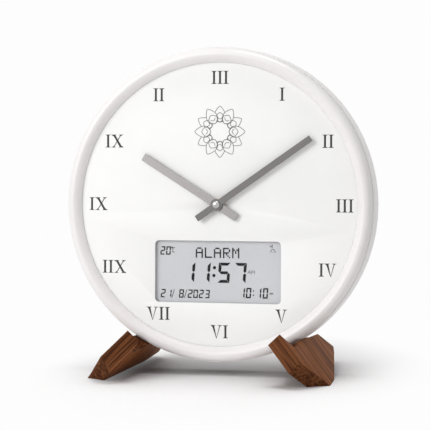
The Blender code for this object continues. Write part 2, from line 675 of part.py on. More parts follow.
def display():
    front = DIAL_BACK + GAP
    window = slab("display_window", DISPLAY_WIDTH + 2 * WINDOW_LAP,
                  DISPLAY_HEIGHT + 2 * WINDOW_LAP, front, front + WINDOW_THICKNESS,
                  z=-DISPLAY_DROP)
    finish(window, "clear plastic")
    panel_back = LCD_FRONT + LCD_THICKNESS
    panel = slab("lcd_panel", LCD_WIDTH, LCD_HEIGHT, LCD_FRONT, panel_back, z=-DISPLAY_DROP)
    finish(panel, "display grey")
    rim = [rectangle(FRAME_WIDTH, FRAME_HEIGHT, 0, -DISPLAY_DROP),
           rectangle(LCD_WIDTH + 2 * GAP, LCD_HEIGHT + 2 * GAP, 0, -DISPLAY_DROP)]
    finish(sheet("lcd_frame", rim, LCD_FRONT, LCD_FRONT + LCD_FRAME_DEPTH), "black plastic")
    strip_height = -DISPLAY_DROP - LCD_HEIGHT / 2 + CONNECTOR_THICKNESS
    strip = slab("lcd_connector", CONNECTOR_LENGTH, CONNECTOR_THICKNESS, panel_back + GAP,
                 MAIN_BOARD_FRONT - GAP, z=strip_height)
    finish(strip, "grey rubber")
    board = slab("main_circuit_board", FRAME_WIDTH, FRAME_HEIGHT, MAIN_BOARD_FRONT,
                 MAIN_BOARD_BACK, z=-DISPLAY_DROP)
    finish(board, "green board")
    chip = slab("controller_chip", CHIP_SIZE, CHIP_SIZE, MAIN_BOARD_BACK + GAP,
                MAIN_BOARD_BACK + GAP + CHIP_HEIGHT, -CHIP_OFFSET, -DISPLAY_DROP)
    finish(chip, "black plastic")


# Feet
def foot_direction(side):
    return Vector((side * math.cos(FOOT_ANGLE), 0, -math.sin(FOOT_ANGLE)))


def foot_normal(side):
    return Vector((side * math.sin(FOOT_ANGLE), 0, math.cos(FOOT_ANGLE)))


def foot_screw_head():
    """Distance along the foot at which the head of its screw sits on the curved wall."""
    wall = CASE_INNER_RADIUS * math.cos(math.pi / ROUND_STEPS)
    return math.sqrt(wall ** 2 - (FOOT_OFFSET + FOOT_SCREW_HEAD_RADIUS) ** 2) - GAP


def foot(name, side):
    """A board with a bed for the case's rim, a notch and a prong in front, and a sole cut level."""
    profile = [(FOOT_BED_RADIUS, 0), (FOOT_SHOULDER_RADIUS, 0),
               (CASE_RADIUS + FOOT_NOTCH_DROP, -FOOT_NOTCH_REACH),
               (CASE_RADIUS - FOOT_PRONG_GRIP, -FOOT_PRONG_REACH),
               (FOOT_KNEE_RADIUS, -FOOT_KNEE_REACH),
               (CASE_RADIUS + FOOT_TOE_DROP, -FOOT_TOE_REACH),
               (CASE_RADIUS + FOOT_SOLE_DROP, -FOOT_SOLE_REACH),
               (CASE_RADIUS + FOOT_HEEL_EDGE_DROP, CASE_DEPTH + FOOT_HEEL_EDGE_REACH),
               (FOOT_HEEL_RADIUS, CASE_DEPTH + FOOT_HEEL_REACH),
               (FOOT_SHOULDER_RADIUS, CASE_DEPTH + FOOT_REAR_TOP_REACH),
               (FOOT_SHOULDER_RADIUS, CASE_DEPTH), (FOOT_BED_RADIUS, CASE_DEPTH)]
    board = plate(name, [profile], FOOT_THICKNESS, Matrix.Identity(4), -foot_normal(side) * FOOT_OFFSET)
    turn = FOOT_ANGLE if side > 0 else math.pi - FOOT_ANGLE
    board.rotation_euler = (0, turn, 0)
    envelope = rod("case_envelope", CASE_RADIUS + GAP, -GAP, CASE_DEPTH + GAP,
                   steps=ROUND_STEPS)
    cut(board, envelope)
    span = 4 * CASE_RADIUS
    ground = block("ground", (span, span, span), (0, 0, -span / 2))
    ground.parent = None
    cut(board, ground)
    return finish(board, "walnut")


def feet(housing):
    for name, side in (("left_foot", -1), ("right_foot", 1)):
        board = foot(name, side)
        direction = foot_direction(side)
        for number, depth in enumerate(FOOT_SCREW_DEPTHS, start=1):
            start = direction * foot_screw_head() - foot_normal(side) * FOOT_OFFSET
            start.y = depth
            head_top = start - direction * FOOT_SCREW_HEAD_HEIGHT
            screw = fastener(f"{name}_screw_{number}", FOOT_SCREW_RADIUS, FOOT_SCREW_LENGTH,
                             FOOT_SCREW_HEAD_RADIUS, FOOT_SCREW_HEAD_HEIGHT, FOOT_SCREW_TIP)
            screw.location = head_top
            aim(screw, -direction)
            finish(screw, "steel")
            length = FOOT_SCREW_LENGTH + FOOT_SCREW_TIP + GAP
            for wall in (housing, board):
                hole = rod("foot_screw_hole", FOOT_SCREW_RADIUS + GAP, -length, 0, steps=TINY_STEPS)
                hole.location = start - direction * FOOT_SCREW_HEAD_HEIGHT + direction * length / 2
                aim(hole, -direction)
                cut(wall, hole)


# Hands
def hand_outline(length, tail, width):
    """A flat bar with square ends and a round boss, pointing up."""
    half = width / 2
    meet = math.degrees(math.asin(half / HAND_BOSS_RADIUS))
    boss = (HAND_BOSS_RADIUS, HAND_BOSS_RADIUS)
    outline = [(half, length), (-half, length)]
    outline += arc((0, 0), boss, 90 + meet, 270 - meet, SMALL_STEPS // 2)
    outline += [(-half, -tail), (half, -tail)]
    outline += arc((0, 0), boss, meet - 90, 90 - meet, SMALL_STEPS // 2)
    return outline


def hands():
    minute = sheet("minute_hand",
                   [hand_outline(MINUTE_HAND_LENGTH, MINUTE_HAND_TAIL, MINUTE_HAND_WIDTH),
                    circle(ARBOR_BORE)],
                   MINUTE_HAND_FRONT, MINUTE_HAND_FRONT + HAND_THICKNESS)
    minute.rotation_euler = (0, MINUTE_HAND_ANGLE, 0)
    finish(minute, "dark metal")
    hour = sheet("hour_hand",
                 [hand_outline(HOUR_HAND_LENGTH, HOUR_HAND_TAIL, HOUR_HAND_WIDTH),
                  circle(PIPE_RADIUS + GAP)],
                 HOUR_HAND_FRONT, HOUR_HAND_FRONT + HAND_THICKNESS)
    hour.rotation_euler = (0, HOUR_HAND_ANGLE, 0)
    finish(hour, "brushed metal")
    base = MINUTE_HAND_FRONT - GAP
    profile = [(0, base)] + arc((0, base), (CAP_RADIUS, CAP_HEIGHT), 0, -90, 5)
    finish(turned("hand_cap", profile, SMALL_STEPS), "chrome")


# Quartz movement
def movement_case():
    case = slab("movement_case", MOVEMENT_SIDE, MOVEMENT_SIDE, MOVEMENT_FRONT,
                MOVEMENT_FRONT + MOVEMENT_CASE_DEPTH)
    join(case, rod("neck", NECK_RADIUS, NECK_FRONT, MOVEMENT_FRONT + MOVEMENT_WALL / 2))
    open_end = COVER_PLATE_BACK
    train_height = MOVEMENT_INNER_HALF + PARTITION_DROP
    cut(case, slab("train_room", 2 * MOVEMENT_INNER_HALF, train_height, PLATE_INNER, open_end,
                   z=(MOVEMENT_INNER_HALF - PARTITION_DROP) / 2))
    cell_height = MOVEMENT_INNER_HALF - CELL_WELL_TOP
    cut(case, slab("cell_room", 2 * MOVEMENT_INNER_HALF, cell_height, PLATE_INNER, open_end,
                   z=-(MOVEMENT_INNER_HALF + CELL_WELL_TOP) / 2))
    cut(case, rod("neck_bore", NECK_BORE, NECK_FRONT - OVERRUN, PLATE_INNER + OVERRUN))
    bore = PIVOT_RADIUS + GAP
    for axis in (MINUTE_WHEEL_AXIS, THIRD_AXIS, ROTOR_AXIS):
        cut(case, rod("front_pivot_hole", bore, PLATE_INNER - PIVOT_DEPTH - GAP,
                      PLATE_INNER + OVERRUN, axis, TINY_STEPS))
    return finish(case, "black plastic")


def movement_cover():
    bottom = -CELL_WELL_TOP
    height = MOVEMENT_HALF - bottom
    cover = slab("movement_cover", MOVEMENT_SIDE, height, COVER_PLATE_FRONT, COVER_PLATE_BACK,
                 z=(MOVEMENT_HALF + bottom) / 2)
    bore = PIVOT_RADIUS + GAP
    hole_end = COVER_PLATE_FRONT + PIVOT_DEPTH + GAP
    for axis in (MINUTE_WHEEL_AXIS, THIRD_AXIS, ROTOR_AXIS):
        cut(cover, rod("back_pivot_hole", bore, COVER_PLATE_FRONT - OVERRUN, hole_end, axis,
                       TINY_STEPS))
    cut(cover, rod("arbor_hole", ARBOR_BORE, COVER_PLATE_FRONT - OVERRUN, hole_end))
    cut(cover, rod("knob_hole", KNOB_SHAFT_RADIUS + GAP, COVER_PLATE_FRONT - OVERRUN,
                   COVER_PLATE_BACK + OVERRUN, KNOB_AXIS))
    return finish(cover, "natural plastic")


def washer_and_nut():
    bore = NECK_RADIUS + GAP
    washer = sheet("rubber_washer", [circle(WASHER_RADIUS), circle(bore)], DIAL_BACK + GAP,
                   DIAL_BACK + GAP + WASHER_THICKNESS)
    finish(washer, "rubber")
    nut = sheet("mounting_nut", [circle(NUT_RADIUS, 6), circle(bore)], NUT_FRONT,
                NUT_FRONT + NUT_THICKNESS)
    finish(nut, "brass")


def wheels():
    arbor_front = PLATE_INNER - PIVOT_DEPTH
    arbor_back = COVER_PLATE_FRONT + PIVOT_DEPTH
    cannon_front = PLATE_INNER + CANNON_LEVEL
    pinion_lap = (PINION_THICKNESS - WHEEL_THICKNESS) / 2

    cannon = rod("cannon_pinion", ARBOR_RADIUS, MINUTE_HAND_FRONT + GAP, arbor_back)
    cannon_phase = MINUTE_WHEEL_DIRECTION
    join(cannon, sheet("cannon_teeth", [gear(CANNON_TEETH, MOTION_MODULE, cannon_phase)],
                       cannon_front, cannon_front + PINION_THICKNESS))
    finish(cannon, "brass")

    wheel_phase = meshing_phase(CANNON_TEETH, cannon_phase, MINUTE_WHEEL_TEETH,
                                MINUTE_WHEEL_DIRECTION)
    minute_front = cannon_front + pinion_lap
    minute = rod("minute_wheel", PIVOT_RADIUS, arbor_front, arbor_back, MINUTE_WHEEL_AXIS,
                 TINY_STEPS)
    join(minute, sheet("minute_teeth", [gear(MINUTE_WHEEL_TEETH, MOTION_MODULE, wheel_phase)],
                       minute_front, minute_front + WHEEL_THICKNESS, MINUTE_WHEEL_AXIS))
    hour_front = PLATE_INNER + HOUR_WHEEL_LEVEL
    pinion_phase = MINUTE_WHEEL_DIRECTION + math.pi
    join(minute, sheet("minute_pinion", [gear(MINUTE_PINION_TEETH, HOUR_MODULE, pinion_phase)],
                       PLATE_INNER + GAP, minute_front + WHEEL_THICKNESS / 2,
                       MINUTE_WHEEL_AXIS))
    finish(minute, "natural plastic")

    hour_phase = meshing_phase(MINUTE_PINION_TEETH, pinion_phase, HOUR_WHEEL_TEETH,
                               MINUTE_WHEEL_DIRECTION + math.pi)
    hour = rod("hour_wheel", PIPE_RADIUS, HOUR_HAND_FRONT, hour_front + WHEEL_THICKNESS / 2)
    join(hour, sheet("hour_teeth", [gear(HOUR_WHEEL_TEETH, HOUR_MODULE, hour_phase)],
                     hour_front, hour_front + WHEEL_THICKNESS))
    cut(hour, rod("pipe_bore", ARBOR_BORE, HOUR_HAND_FRONT - OVERRUN,
                  hour_front + WHEEL_THICKNESS + OVERRUN))
    finish(hour, "brass")

    knob_phase = meshing_phase(MINUTE_WHEEL_TEETH, wheel_phase, KNOB_TEETH, KNOB_DIRECTION)
    knob_front = COVER_PLATE_BACK + GAP
    knob = rod("setting_knob", KNOB_RADIUS, knob_front, knob_front + KNOB_THICKNESS, KNOB_AXIS,
               KNOB_STEPS)
    join(knob, rod("knob_shaft", KNOB_SHAFT_RADIUS, PLATE_INNER + GAP,
                   knob_front + KNOB_THICKNESS / 2, KNOB_AXIS))
    join(knob, sheet("knob_teeth", [gear(KNOB_TEETH, MOTION_MODULE, knob_phase)], cannon_front,
                     cannon_front + PINION_THICKNESS, KNOB_AXIS))
    finish(knob, "black plastic")

    centre_front = PLATE_INNER + CENTRE_WHEEL_LEVEL
    centre_phase = THIRD_DIRECTION
    centre = sheet("centre_wheel", [gear(CENTRE_TEETH, TRAIN_MODULE, centre_phase),
                                    circle(ARBOR_BORE)],
                   centre_front, centre_front + WHEEL_THICKNESS)
    finish(centre, "brass")

    third_phase = meshing_phase(CENTRE_TEETH, centre_phase, THIRD_PINION_TEETH, THIRD_DIRECTION)
    third = rod("third_wheel", PIVOT_RADIUS, arbor_front, arbor_back, THIRD_AXIS, TINY_STEPS)
    join(third, sheet("third_pinion", [gear(THIRD_PINION_TEETH, TRAIN_MODULE, third_phase)],
                      centre_front - pinion_lap, centre_front - pinion_lap + PINION_THICKNESS,
                      THIRD_AXIS))
    third_front = PLATE_INNER + THIRD_WHEEL_LEVEL
    join(third, sheet("third_teeth", [gear(THIRD_TEETH, ROTOR_MODULE, ROTOR_DIRECTION)],
                      third_front, third_front + WHEEL_THICKNESS, THIRD_AXIS))
    finish(third, "natural plastic")

    rotor_phase = meshing_phase(THIRD_TEETH, ROTOR_DIRECTION, ROTOR_TEETH, ROTOR_DIRECTION)
    magnet_front = PLATE_INNER + ROTOR_MAGNET_LEVEL
    rotor = rod("rotor", ROTOR_MAGNET_RADIUS, magnet_front,
                magnet_front + ROTOR_MAGNET_THICKNESS, ROTOR_AXIS)
    join(rotor, rod("rotor_arbor", PIVOT_RADIUS, arbor_front, arbor_back, ROTOR_AXIS,
                    TINY_STEPS))
    join(rotor, sheet("rotor_pinion", [gear(ROTOR_TEETH, ROTOR_MODULE, rotor_phase)],
                      third_front - pinion_lap, third_front - pinion_lap + PINION_THICKNESS,
                      ROTOR_AXIS))
    finish(rotor, "dark metal")


def motor_parts():
    stator_front = PLATE_INNER + STATOR_LEVEL
    stator_back = stator_front + STATOR_THICKNESS
    hole = ROTOR_MAGNET_RADIUS + 2 * GAP
    bar_bottom = ROTOR_AXIS[1] - hole - STATOR_MARGIN
    bar_top = ROTOR_AXIS[1] + hole + STATOR_MARGIN
    inner = STATOR_HALF_WIDTH - STATOR_LEG
    outer = STATOR_HALF_WIDTH
    outline = [(-outer, bar_bottom), (outer, bar_bottom), (outer, STATOR_TOP),
               (inner, STATOR_TOP), (inner, bar_top), (-inner, bar_top), (-inner, STATOR_TOP),
               (-outer, STATOR_TOP)]
    rotor_hole = [(ROTOR_AXIS[0] + x, ROTOR_AXIS[1] + z) for x, z in circle(hole)]
    finish(sheet("stator", [outline, rotor_hole], stator_front, stator_back), "steel")

    height = MOVEMENT_HALF - COIL_DROP
    core_front = stator_back + GAP
    depth = core_front + COIL_CORE_THICKNESS / 2
    flange = CONTACT_THICKNESS * 2
    coil = rod("driving_coil", COIL_RADIUS, -inner + flange, inner - flange)
    coil.location = (0, depth, height)
    coil.rotation_euler = (0, 0, math.pi / 2)
    core_back = core_front + COIL_CORE_THICKNESS
    join(coil, slab("coil_core", 2 * outer, COIL_CORE, core_front, core_back, z=height))
    for side in (-1, 1):
        join(coil, slab("coil_flange", flange, COIL_FLANGE, depth - COIL_FLANGE / 2,
                        depth + COIL_FLANGE / 2, side * (inner - flange), height))
    finish(coil, "copper")

    board_back = COVER_PLATE_FRONT - GAP
    board_front = board_back - MOVEMENT_BOARD_THICKNESS
    board_x = MOVEMENT_INNER_HALF - GAP - MOVEMENT_BOARD_WIDTH / 2
    board_z = MOVEMENT_INNER_HALF - GAP - MOVEMENT_BOARD_HEIGHT / 2
    board = slab("movement_circuit_board", MOVEMENT_BOARD_WIDTH, MOVEMENT_BOARD_HEIGHT,
                 board_front, board_back, board_x, board_z)
    finish(board, "green board")
    crystal = rod("quartz_crystal", CRYSTAL_RADIUS, -CRYSTAL_LENGTH / 2, CRYSTAL_LENGTH / 2,
                  steps=TINY_STEPS)
    crystal.location = (board_x + CRYSTAL_LENGTH, board_front - GAP - CRYSTAL_RADIUS,
                        board_z - CRYSTAL_RADIUS)
    crystal.rotation_euler = (0, 0, math.pi / 2)
    finish(crystal, "steel")


def cell(name, x, depth, z, side):
    """An AA cell whose positive end points to this side."""
    body = CELL_LENGTH - CELL_NUB_HEIGHT
    profile = [(0, CELL_LENGTH), (CELL_NUB_RADIUS, CELL_LENGTH), (CELL_NUB_RADIUS, body),
               (CELL_RADIUS, body), (CELL_RADIUS, 0), (0, 0)]
    obj = turned(name, profile, SMALL_STEPS, (x, depth, z))
    obj.rotation_euler = (0, 0, -side * math.pi / 2)
    return finish(obj, "cell wrap")


def movement_cell():
    depth = PLATE_INNER + GAP + CELL_RADIUS
    z = -(MOVEMENT_INNER_HALF + CELL_WELL_TOP) / 2
    contact_outer = MOVEMENT_INNER_HALF - GAP
    contact_inner = contact_outer - CONTACT_THICKNESS
    cell("movement_cell", contact_inner - GAP - CELL_LENGTH, depth, z, 1)
    front = PLATE_INNER + GAP
    back = front + CONTACT_SIDE
    plate = slab("movement_plate_contact", CONTACT_THICKNESS, CONTACT_SIDE, front, back,
                 contact_outer - CONTACT_THICKNESS / 2, z)
    finish(plate, "steel")
    half = CONTACT_SIDE / 2
    leaf = [(-contact_outer, z - half), (-contact_inner, z - half),
            (-contact_inner + CONTACT_BULGE, z), (-contact_inner, z + half),
            (-contact_outer, z + half), (-contact_outer + CONTACT_BULGE, z)]
    finish(sheet("movement_spring_contact", [leaf], front, back), "steel")


# Battery box for the display
def battery_tray():
    z = -DISPLAY_DROP
    outer_length = 2 * (TRAY_HALF_LENGTH + TRAY_WALL)
    outer_height = 2 * (TRAY_HALF_HEIGHT + TRAY_WALL)
    flange_length = 2 * (COVER_HALF_LENGTH + GAP + TRAY_FLANGE)
    flange_height = 2 * (COVER_HALF_HEIGHT + GAP + TRAY_FLANGE)
    tray = slab("battery_tray", outer_length, outer_height, TRAY_FLOOR, TRAY_BACK, z=z)
    join(tray, slab("tray_flange", flange_length, flange_height,
                    TRAY_BACK - TRAY_FLANGE_THICKNESS, TRAY_BACK, z=z))
    cut(tray, slab("tray_room", 2 * TRAY_HALF_LENGTH, 2 * TRAY_HALF_HEIGHT, TRAY_INNER_FLOOR,
                   TRAY_BACK + OVERRUN, z=z))
    return finish(tray, "white plastic")


def helix(name, start, side):
    """A coil spring along X that starts at a contact plate and runs to this side."""
    curve = bpy.data.curves.new(name, "CURVE")
    curve.dimensions = "3D"
    curve.bevel_depth = SPRING_WIRE
    curve.bevel_resolution = 1
    curve.use_fill_caps = True
    count = SPRING_TURNS * SPRING_POINTS_PER_TURN + 1
    spline = curve.splines.new("POLY")
    spline.points.add(count - 1)
    run = SPRING_LENGTH - 2 * SPRING_WIRE
    for number, point in enumerate(spline.points):
        angle = 2 * math.pi * number / SPRING_POINTS_PER_TURN
        x = side * run * number / (count - 1)
        point.co = (x, SPRING_RADIUS * math.cos(angle), SPRING_RADIUS * math.sin(angle), 1)
    return as_mesh(name, curve, Matrix.Identity(4), start)


def battery_contacts():
    upper = -DISPLAY_DROP + CELL_PITCH / 2
    lower = -DISPLAY_DROP - CELL_PITCH / 2
    outer = TRAY_HALF_LENGTH - GAP
    middle = outer - CONTACT_THICKNESS / 2
    inner = outer - CONTACT_THICKNESS
    front = TRAY_CELL_DEPTH - CONTACT_SIDE / 2
    back = TRAY_CELL_DEPTH + CONTACT_SIDE / 2
    cell("battery_cell_1", inner - GAP - CELL_LENGTH, TRAY_CELL_DEPTH, upper, 1)
    cell("battery_cell_2", -inner + GAP + CELL_LENGTH, TRAY_CELL_DEPTH, lower, -1)
    negative = slab("negative_contact", CONTACT_THICKNESS, CONTACT_SIDE, front, back, -middle,
                    upper)
    join(negative, helix("negative_spring", (-inner, TRAY_CELL_DEPTH, upper), 1))
    finish(negative, "steel")
    positive = slab("positive_contact", CONTACT_THICKNESS, CONTACT_SIDE, front, back, -middle,
                    lower)
    finish(positive, "steel")
    bridge = slab("bridge_contact", CONTACT_THICKNESS, CONTACT_SIDE + CELL_PITCH, front, back,
                  middle, -DISPLAY_DROP)
    join(bridge, helix("bridge_spring", (inner, TRAY_CELL_DEPTH, lower), -1))
    finish(bridge, "steel")


def battery_cover():
    z = -DISPLAY_DROP
    front = BACK_WALL_FRONT
    cover = slab("battery_cover", 2 * COVER_HALF_LENGTH, 2 * COVER_HALF_HEIGHT, front,
                 CASE_DEPTH, z=z)
    for row in (-1, 0, 1):
        join(cover, slab("cover_grip", COVER_GRIP_WIDTH, COVER_GRIP_HEIGHT,
                         CASE_DEPTH - COVER_THICKNESS / 2, CASE_DEPTH + COVER_GRIP_RISE,
                         z=z + row * 2 * COVER_GRIP_HEIGHT))
    cut(cover, slab("cover_hollow", 2 * TRAY_HALF_LENGTH, 2 * TRAY_HALF_HEIGHT,
                    front - OVERRUN, CASE_DEPTH - COVER_THICKNESS, z=z))
    return finish(cover, "white plastic")


# Loudspeaker
def speaker():
    axis = (0, 0, SPEAKER_HEIGHT)
    back = BACK_WALL_FRONT - GAP
    rim_front = back - SPEAKER_RIM_THICKNESS
    floor = back - SPEAKER_DEPTH
    rim_inner = SPEAKER_CONE_RADIUS + GAP
    basket = [(SPEAKER_RADIUS, back), (SPEAKER_RADIUS, rim_front),
              (SPEAKER_RADIUS - SPEAKER_RIM, rim_front), (SPEAKER_NECK_RADIUS, floor),
              (SPEAKER_VENT, floor), (SPEAKER_VENT, floor + SPEAKER_SHEET),
              (SPEAKER_NECK_RADIUS - SPEAKER_SHEET / 2, floor + SPEAKER_SHEET),
              (rim_inner, rim_front), (rim_inner, back)]
    steps = 2 * SMALL_STEPS
    finish(turned("speaker_basket", basket, steps, axis, ring=True), "steel")
    magnet_back = floor - GAP
    magnet = rod("speaker_magnet", MAGNET_RADIUS, magnet_back - MAGNET_THICKNESS, magnet_back,
                 (0, SPEAKER_HEIGHT), steps)
    finish(magnet, "dark metal")
    edge = back - GAP
    neck = edge - CONE_DEPTH
    cone = [(0, neck + DUST_CAP_HEIGHT), (DUST_CAP_RADIUS, neck), (SPEAKER_CONE_RADIUS, edge),
            (SPEAKER_CONE_RADIUS, edge - CONE_SHEET), (DUST_CAP_RADIUS, neck - CONE_SHEET),
            (0, neck + DUST_CAP_HEIGHT - CONE_SHEET)]
    finish(turned("speaker_cone", cone, steps, axis), "paper cone")


# Buttons and switch
def push_buttons():
    top = CASE_DEPTH + BUTTON_RISE
    flange_radius = BUTTON_RADIUS + BUTTON_FLANGE_LAP
    for button in range(BUTTON_COUNT):
        x = button * BUTTON_PITCH - BUTTON_ROW_HALF
        profile = [(0, top), (BUTTON_RADIUS - BUTTON_CHAMFER, top),
                   (BUTTON_RADIUS, top - BUTTON_CHAMFER), (BUTTON_RADIUS, BUTTON_FLANGE_BACK),
                   (flange_radius, BUTTON_FLANGE_BACK), (flange_radius, BUTTON_FLANGE_FRONT),
                   (BUTTON_RADIUS - BUTTON_FLANGE_LAP, BUTTON_FLANGE_FRONT),
                   (BUTTON_RADIUS - BUTTON_FLANGE_LAP, BUTTON_FRONT), (0, BUTTON_FRONT)]
        knob = turned(f"push_button_{button + 1}", profile, SMALL_STEPS,
                      (x, 0, BUTTON_ROW_HEIGHT))
        finish(knob, "black plastic")


def button_board():
    width = BUTTON_BOARD_RIGHT - BUTTON_BOARD_LEFT
    middle = (BUTTON_BOARD_RIGHT + BUTTON_BOARD_LEFT) / 2
    board = slab("button_board", width, BUTTON_BOARD_HEIGHT, BUTTON_BOARD_FRONT,
                 BUTTON_BOARD_BACK, middle, BUTTON_ROW_HEIGHT)
    finish(board, "green board")
    dome_back = MEMBRANE_FRONT + MEMBRANE_THICKNESS + DOME_HEIGHT
    length = 2 * (BUTTON_ROW_HALF + DOME_RADIUS + GAP)
    membrane = slab("button_membrane", length, MEMBRANE_HEIGHT, MEMBRANE_FRONT,
                    MEMBRANE_FRONT + MEMBRANE_THICKNESS, z=BUTTON_ROW_HEIGHT)
    for button in range(BUTTON_COUNT):
        axis = (button * BUTTON_PITCH - BUTTON_ROW_HALF, BUTTON_ROW_HEIGHT)
        join(membrane, rod("dome", DOME_RADIUS, MEMBRANE_FRONT + MEMBRANE_THICKNESS / 2,
                           dome_back, axis, TINY_STEPS))
    finish(membrane, "grey rubber")


def slide_switch():
    base_back = BACK_WALL_FRONT - GAP
    base_front = base_back - SWITCH_BASE_THICKNESS
    middle = SWITCH_OFFSET + SWITCH_TRAVEL / 2
    body = slab("switch_body", SWITCH_BODY_LENGTH, SWITCH_BODY_HEIGHT, BUTTON_BOARD_BACK + GAP,
                base_front - GAP, middle, BUTTON_ROW_HEIGHT)
    finish(body, "steel")
    slider = slab("switch_slider", SWITCH_BASE_LENGTH, SWITCH_BASE_HEIGHT, base_front,
                  base_back, SWITCH_OFFSET, BUTTON_ROW_HEIGHT)
    join(slider, slab("switch_grip", SWITCH_GRIP, SWITCH_GRIP,
                      base_front + SWITCH_BASE_THICKNESS / 2, CASE_DEPTH + SWITCH_GRIP_RISE,
                      SWITCH_OFFSET, BUTTON_ROW_HEIGHT))
    finish(slider, "black plastic")


front_bezel()
back_housing = rear_housing()
case_screws()
dial_plate()
display()
feet(back_housing)
hands()
movement_case()
movement_cover()
washer_and_nut()
wheels()
motor_parts()
movement_cell()
battery_tray()
battery_contacts()
battery_cover()
speaker()
push_buttons()
button_board()
slide_switch()
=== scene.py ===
# %% [markdown]
# # A round table clock on two walnut feet
#
# The real clock is a shallow white drum of moulded plastic with a rounded front ring, a
# matt dial, two hands and a small liquid crystal display. Two notched walnut boards grip
# its rim and lean it back a little. The frame holds the parts at their real size. This
# lesson gives them their looks: fine round edges, printing, finishes and light.

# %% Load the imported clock
import json
import math

import bmesh
import bpy
from mathutils import Matrix, Vector


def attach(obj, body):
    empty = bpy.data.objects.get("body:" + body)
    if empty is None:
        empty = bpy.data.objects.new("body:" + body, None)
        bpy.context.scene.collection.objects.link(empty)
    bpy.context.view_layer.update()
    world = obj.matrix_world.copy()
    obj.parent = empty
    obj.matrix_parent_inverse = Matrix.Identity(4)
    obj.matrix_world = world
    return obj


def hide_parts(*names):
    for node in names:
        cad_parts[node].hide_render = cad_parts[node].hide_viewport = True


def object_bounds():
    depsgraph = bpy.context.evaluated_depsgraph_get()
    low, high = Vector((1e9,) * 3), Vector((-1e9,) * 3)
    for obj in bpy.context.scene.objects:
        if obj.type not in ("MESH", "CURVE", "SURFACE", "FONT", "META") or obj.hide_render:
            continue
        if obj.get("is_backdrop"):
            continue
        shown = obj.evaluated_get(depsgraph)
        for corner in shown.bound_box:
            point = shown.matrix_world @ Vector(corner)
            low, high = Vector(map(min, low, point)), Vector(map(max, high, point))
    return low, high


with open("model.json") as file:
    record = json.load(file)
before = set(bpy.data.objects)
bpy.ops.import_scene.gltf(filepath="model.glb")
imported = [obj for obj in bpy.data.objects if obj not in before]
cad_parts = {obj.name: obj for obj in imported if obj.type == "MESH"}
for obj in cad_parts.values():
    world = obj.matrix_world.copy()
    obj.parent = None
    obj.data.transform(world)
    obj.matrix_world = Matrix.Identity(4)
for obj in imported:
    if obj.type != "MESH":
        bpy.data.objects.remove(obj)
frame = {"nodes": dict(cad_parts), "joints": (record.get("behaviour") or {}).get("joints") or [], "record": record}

MM = 0.001
solid_low, solid_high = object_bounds()
measures = [round((high - low) / MM, 1) for low, high in zip(solid_low, solid_high)]
print("the packed clock measures", measures, "mm")

# %% [markdown]
# ## Finding the clock's own axes
#
# The clock leans back, so nothing on it lies along the world's axes. It could be modelled
# upright and turned as an object, but a finished piece must have its place in its mesh.
# So each piece is shaped in the clock's own axes (right, back, up, from the centre of the
# bezel's crest), and one matrix then carries its vertices to where they belong. The axis
# of the hands gives the direction, and the bezel's foremost point gives the depth.

# %% The matrix that carries a shape onto the leaning clock
hand_joint = next(joint for joint in frame["joints"] if joint["name"] == "minute_hand_turn")
BACK = Vector(hand_joint["axis"]).normalized()
RIGHT = Vector((1, 0, 0))
UP = RIGHT.cross(BACK)
arbor = Vector(hand_joint["pos_m"])
crest_depth = min(BACK.dot(vertex.co) for vertex in frame["nodes"]["front_bezel"].data.vertices)
CENTRE = arbor + BACK * (crest_depth - BACK.dot(arbor))
CLOCK = Matrix((RIGHT, BACK, UP)).transposed().to_4x4()
CLOCK.translation = CENTRE
print("centre of the crest at", [round(value / MM, 2) for value in CENTRE], "mm")


# %% Measuring a part in the clock's axes
def spread(node):
    """Lowest and highest (right, back, up) of a part in the clock's own axes."""
    to_clock = CLOCK.inverted()
    points = [to_clock @ vertex.co for vertex in frame["nodes"][node].data.vertices]
    low = Vector([min(point[axis] for point in points) for axis in range(3)])
    high = Vector([max(point[axis] for point in points) for axis in range(3)])
    return low, high


bezel_high = spread("front_bezel")[1]
dial_low, dial_high = spread("dial_plate")
panel_low = spread("lcd_panel")[0]
window_low, window_high = spread("display_window")
cap_low, cap_high = spread("hand_cap")
CASE_RADIUS = bezel_high.x
DIAL_FRONT = dial_low.y
PANEL_FRONT = panel_low.y
print("the dial lies", round(DIAL_FRONT / MM, 2), "mm behind the crest")

# %% [markdown]
# ## Camera
#
# The photograph was taken from a little to the right and a little above, with a long lens,
# so that the round case looks almost round. The camera stands on a line from a point near
# the centre of the dial, turned by an azimuth and an elevation, and is rolled slightly.

# %% Place the camera where the photographer stood
PICTURE_WIDTH = 430
FOCAL_LENGTH_PIXELS = 2000
SENSOR_WIDTH = 36
CAMERA_AZIMUTH = math.radians(14.67)
CAMERA_ELEVATION = math.radians(5.625)
CAMERA_ROLL = math.radians(-0.857)
CAMERA_DISTANCE = 1893.2 * MM
LOOKED_AT = CENTRE + Vector((-0.9, 0, -9.6)) * MM

towards_camera = Vector((
    math.sin(CAMERA_AZIMUTH) * math.cos(CAMERA_ELEVATION),
    -math.cos(CAMERA_AZIMUTH) * math.cos(CAMERA_ELEVATION),
    math.sin(CAMERA_ELEVATION),
))
camera_data = bpy.data.cameras.new("camera")
camera_data.sensor_width = SENSOR_WIDTH
camera_data.lens = FOCAL_LENGTH_PIXELS / PICTURE_WIDTH * SENSOR_WIDTH
camera = bpy.data.objects.new("camera", camera_data)
bpy.context.scene.collection.objects.link(camera)
facing = (-towards_camera).to_track_quat("-Z", "Y").to_matrix().to_4x4()
place = Matrix.Translation(LOOKED_AT + towards_camera * CAMERA_DISTANCE)
camera.matrix_world = place @ facing @ Matrix.Rotation(CAMERA_ROLL, 4, "Z")
bpy.context.scene.camera = camera
lens = round(camera_data.lens, 1)
print("camera stands", round(CAMERA_DISTANCE, 2), "m away with a", lens, "mm lens")

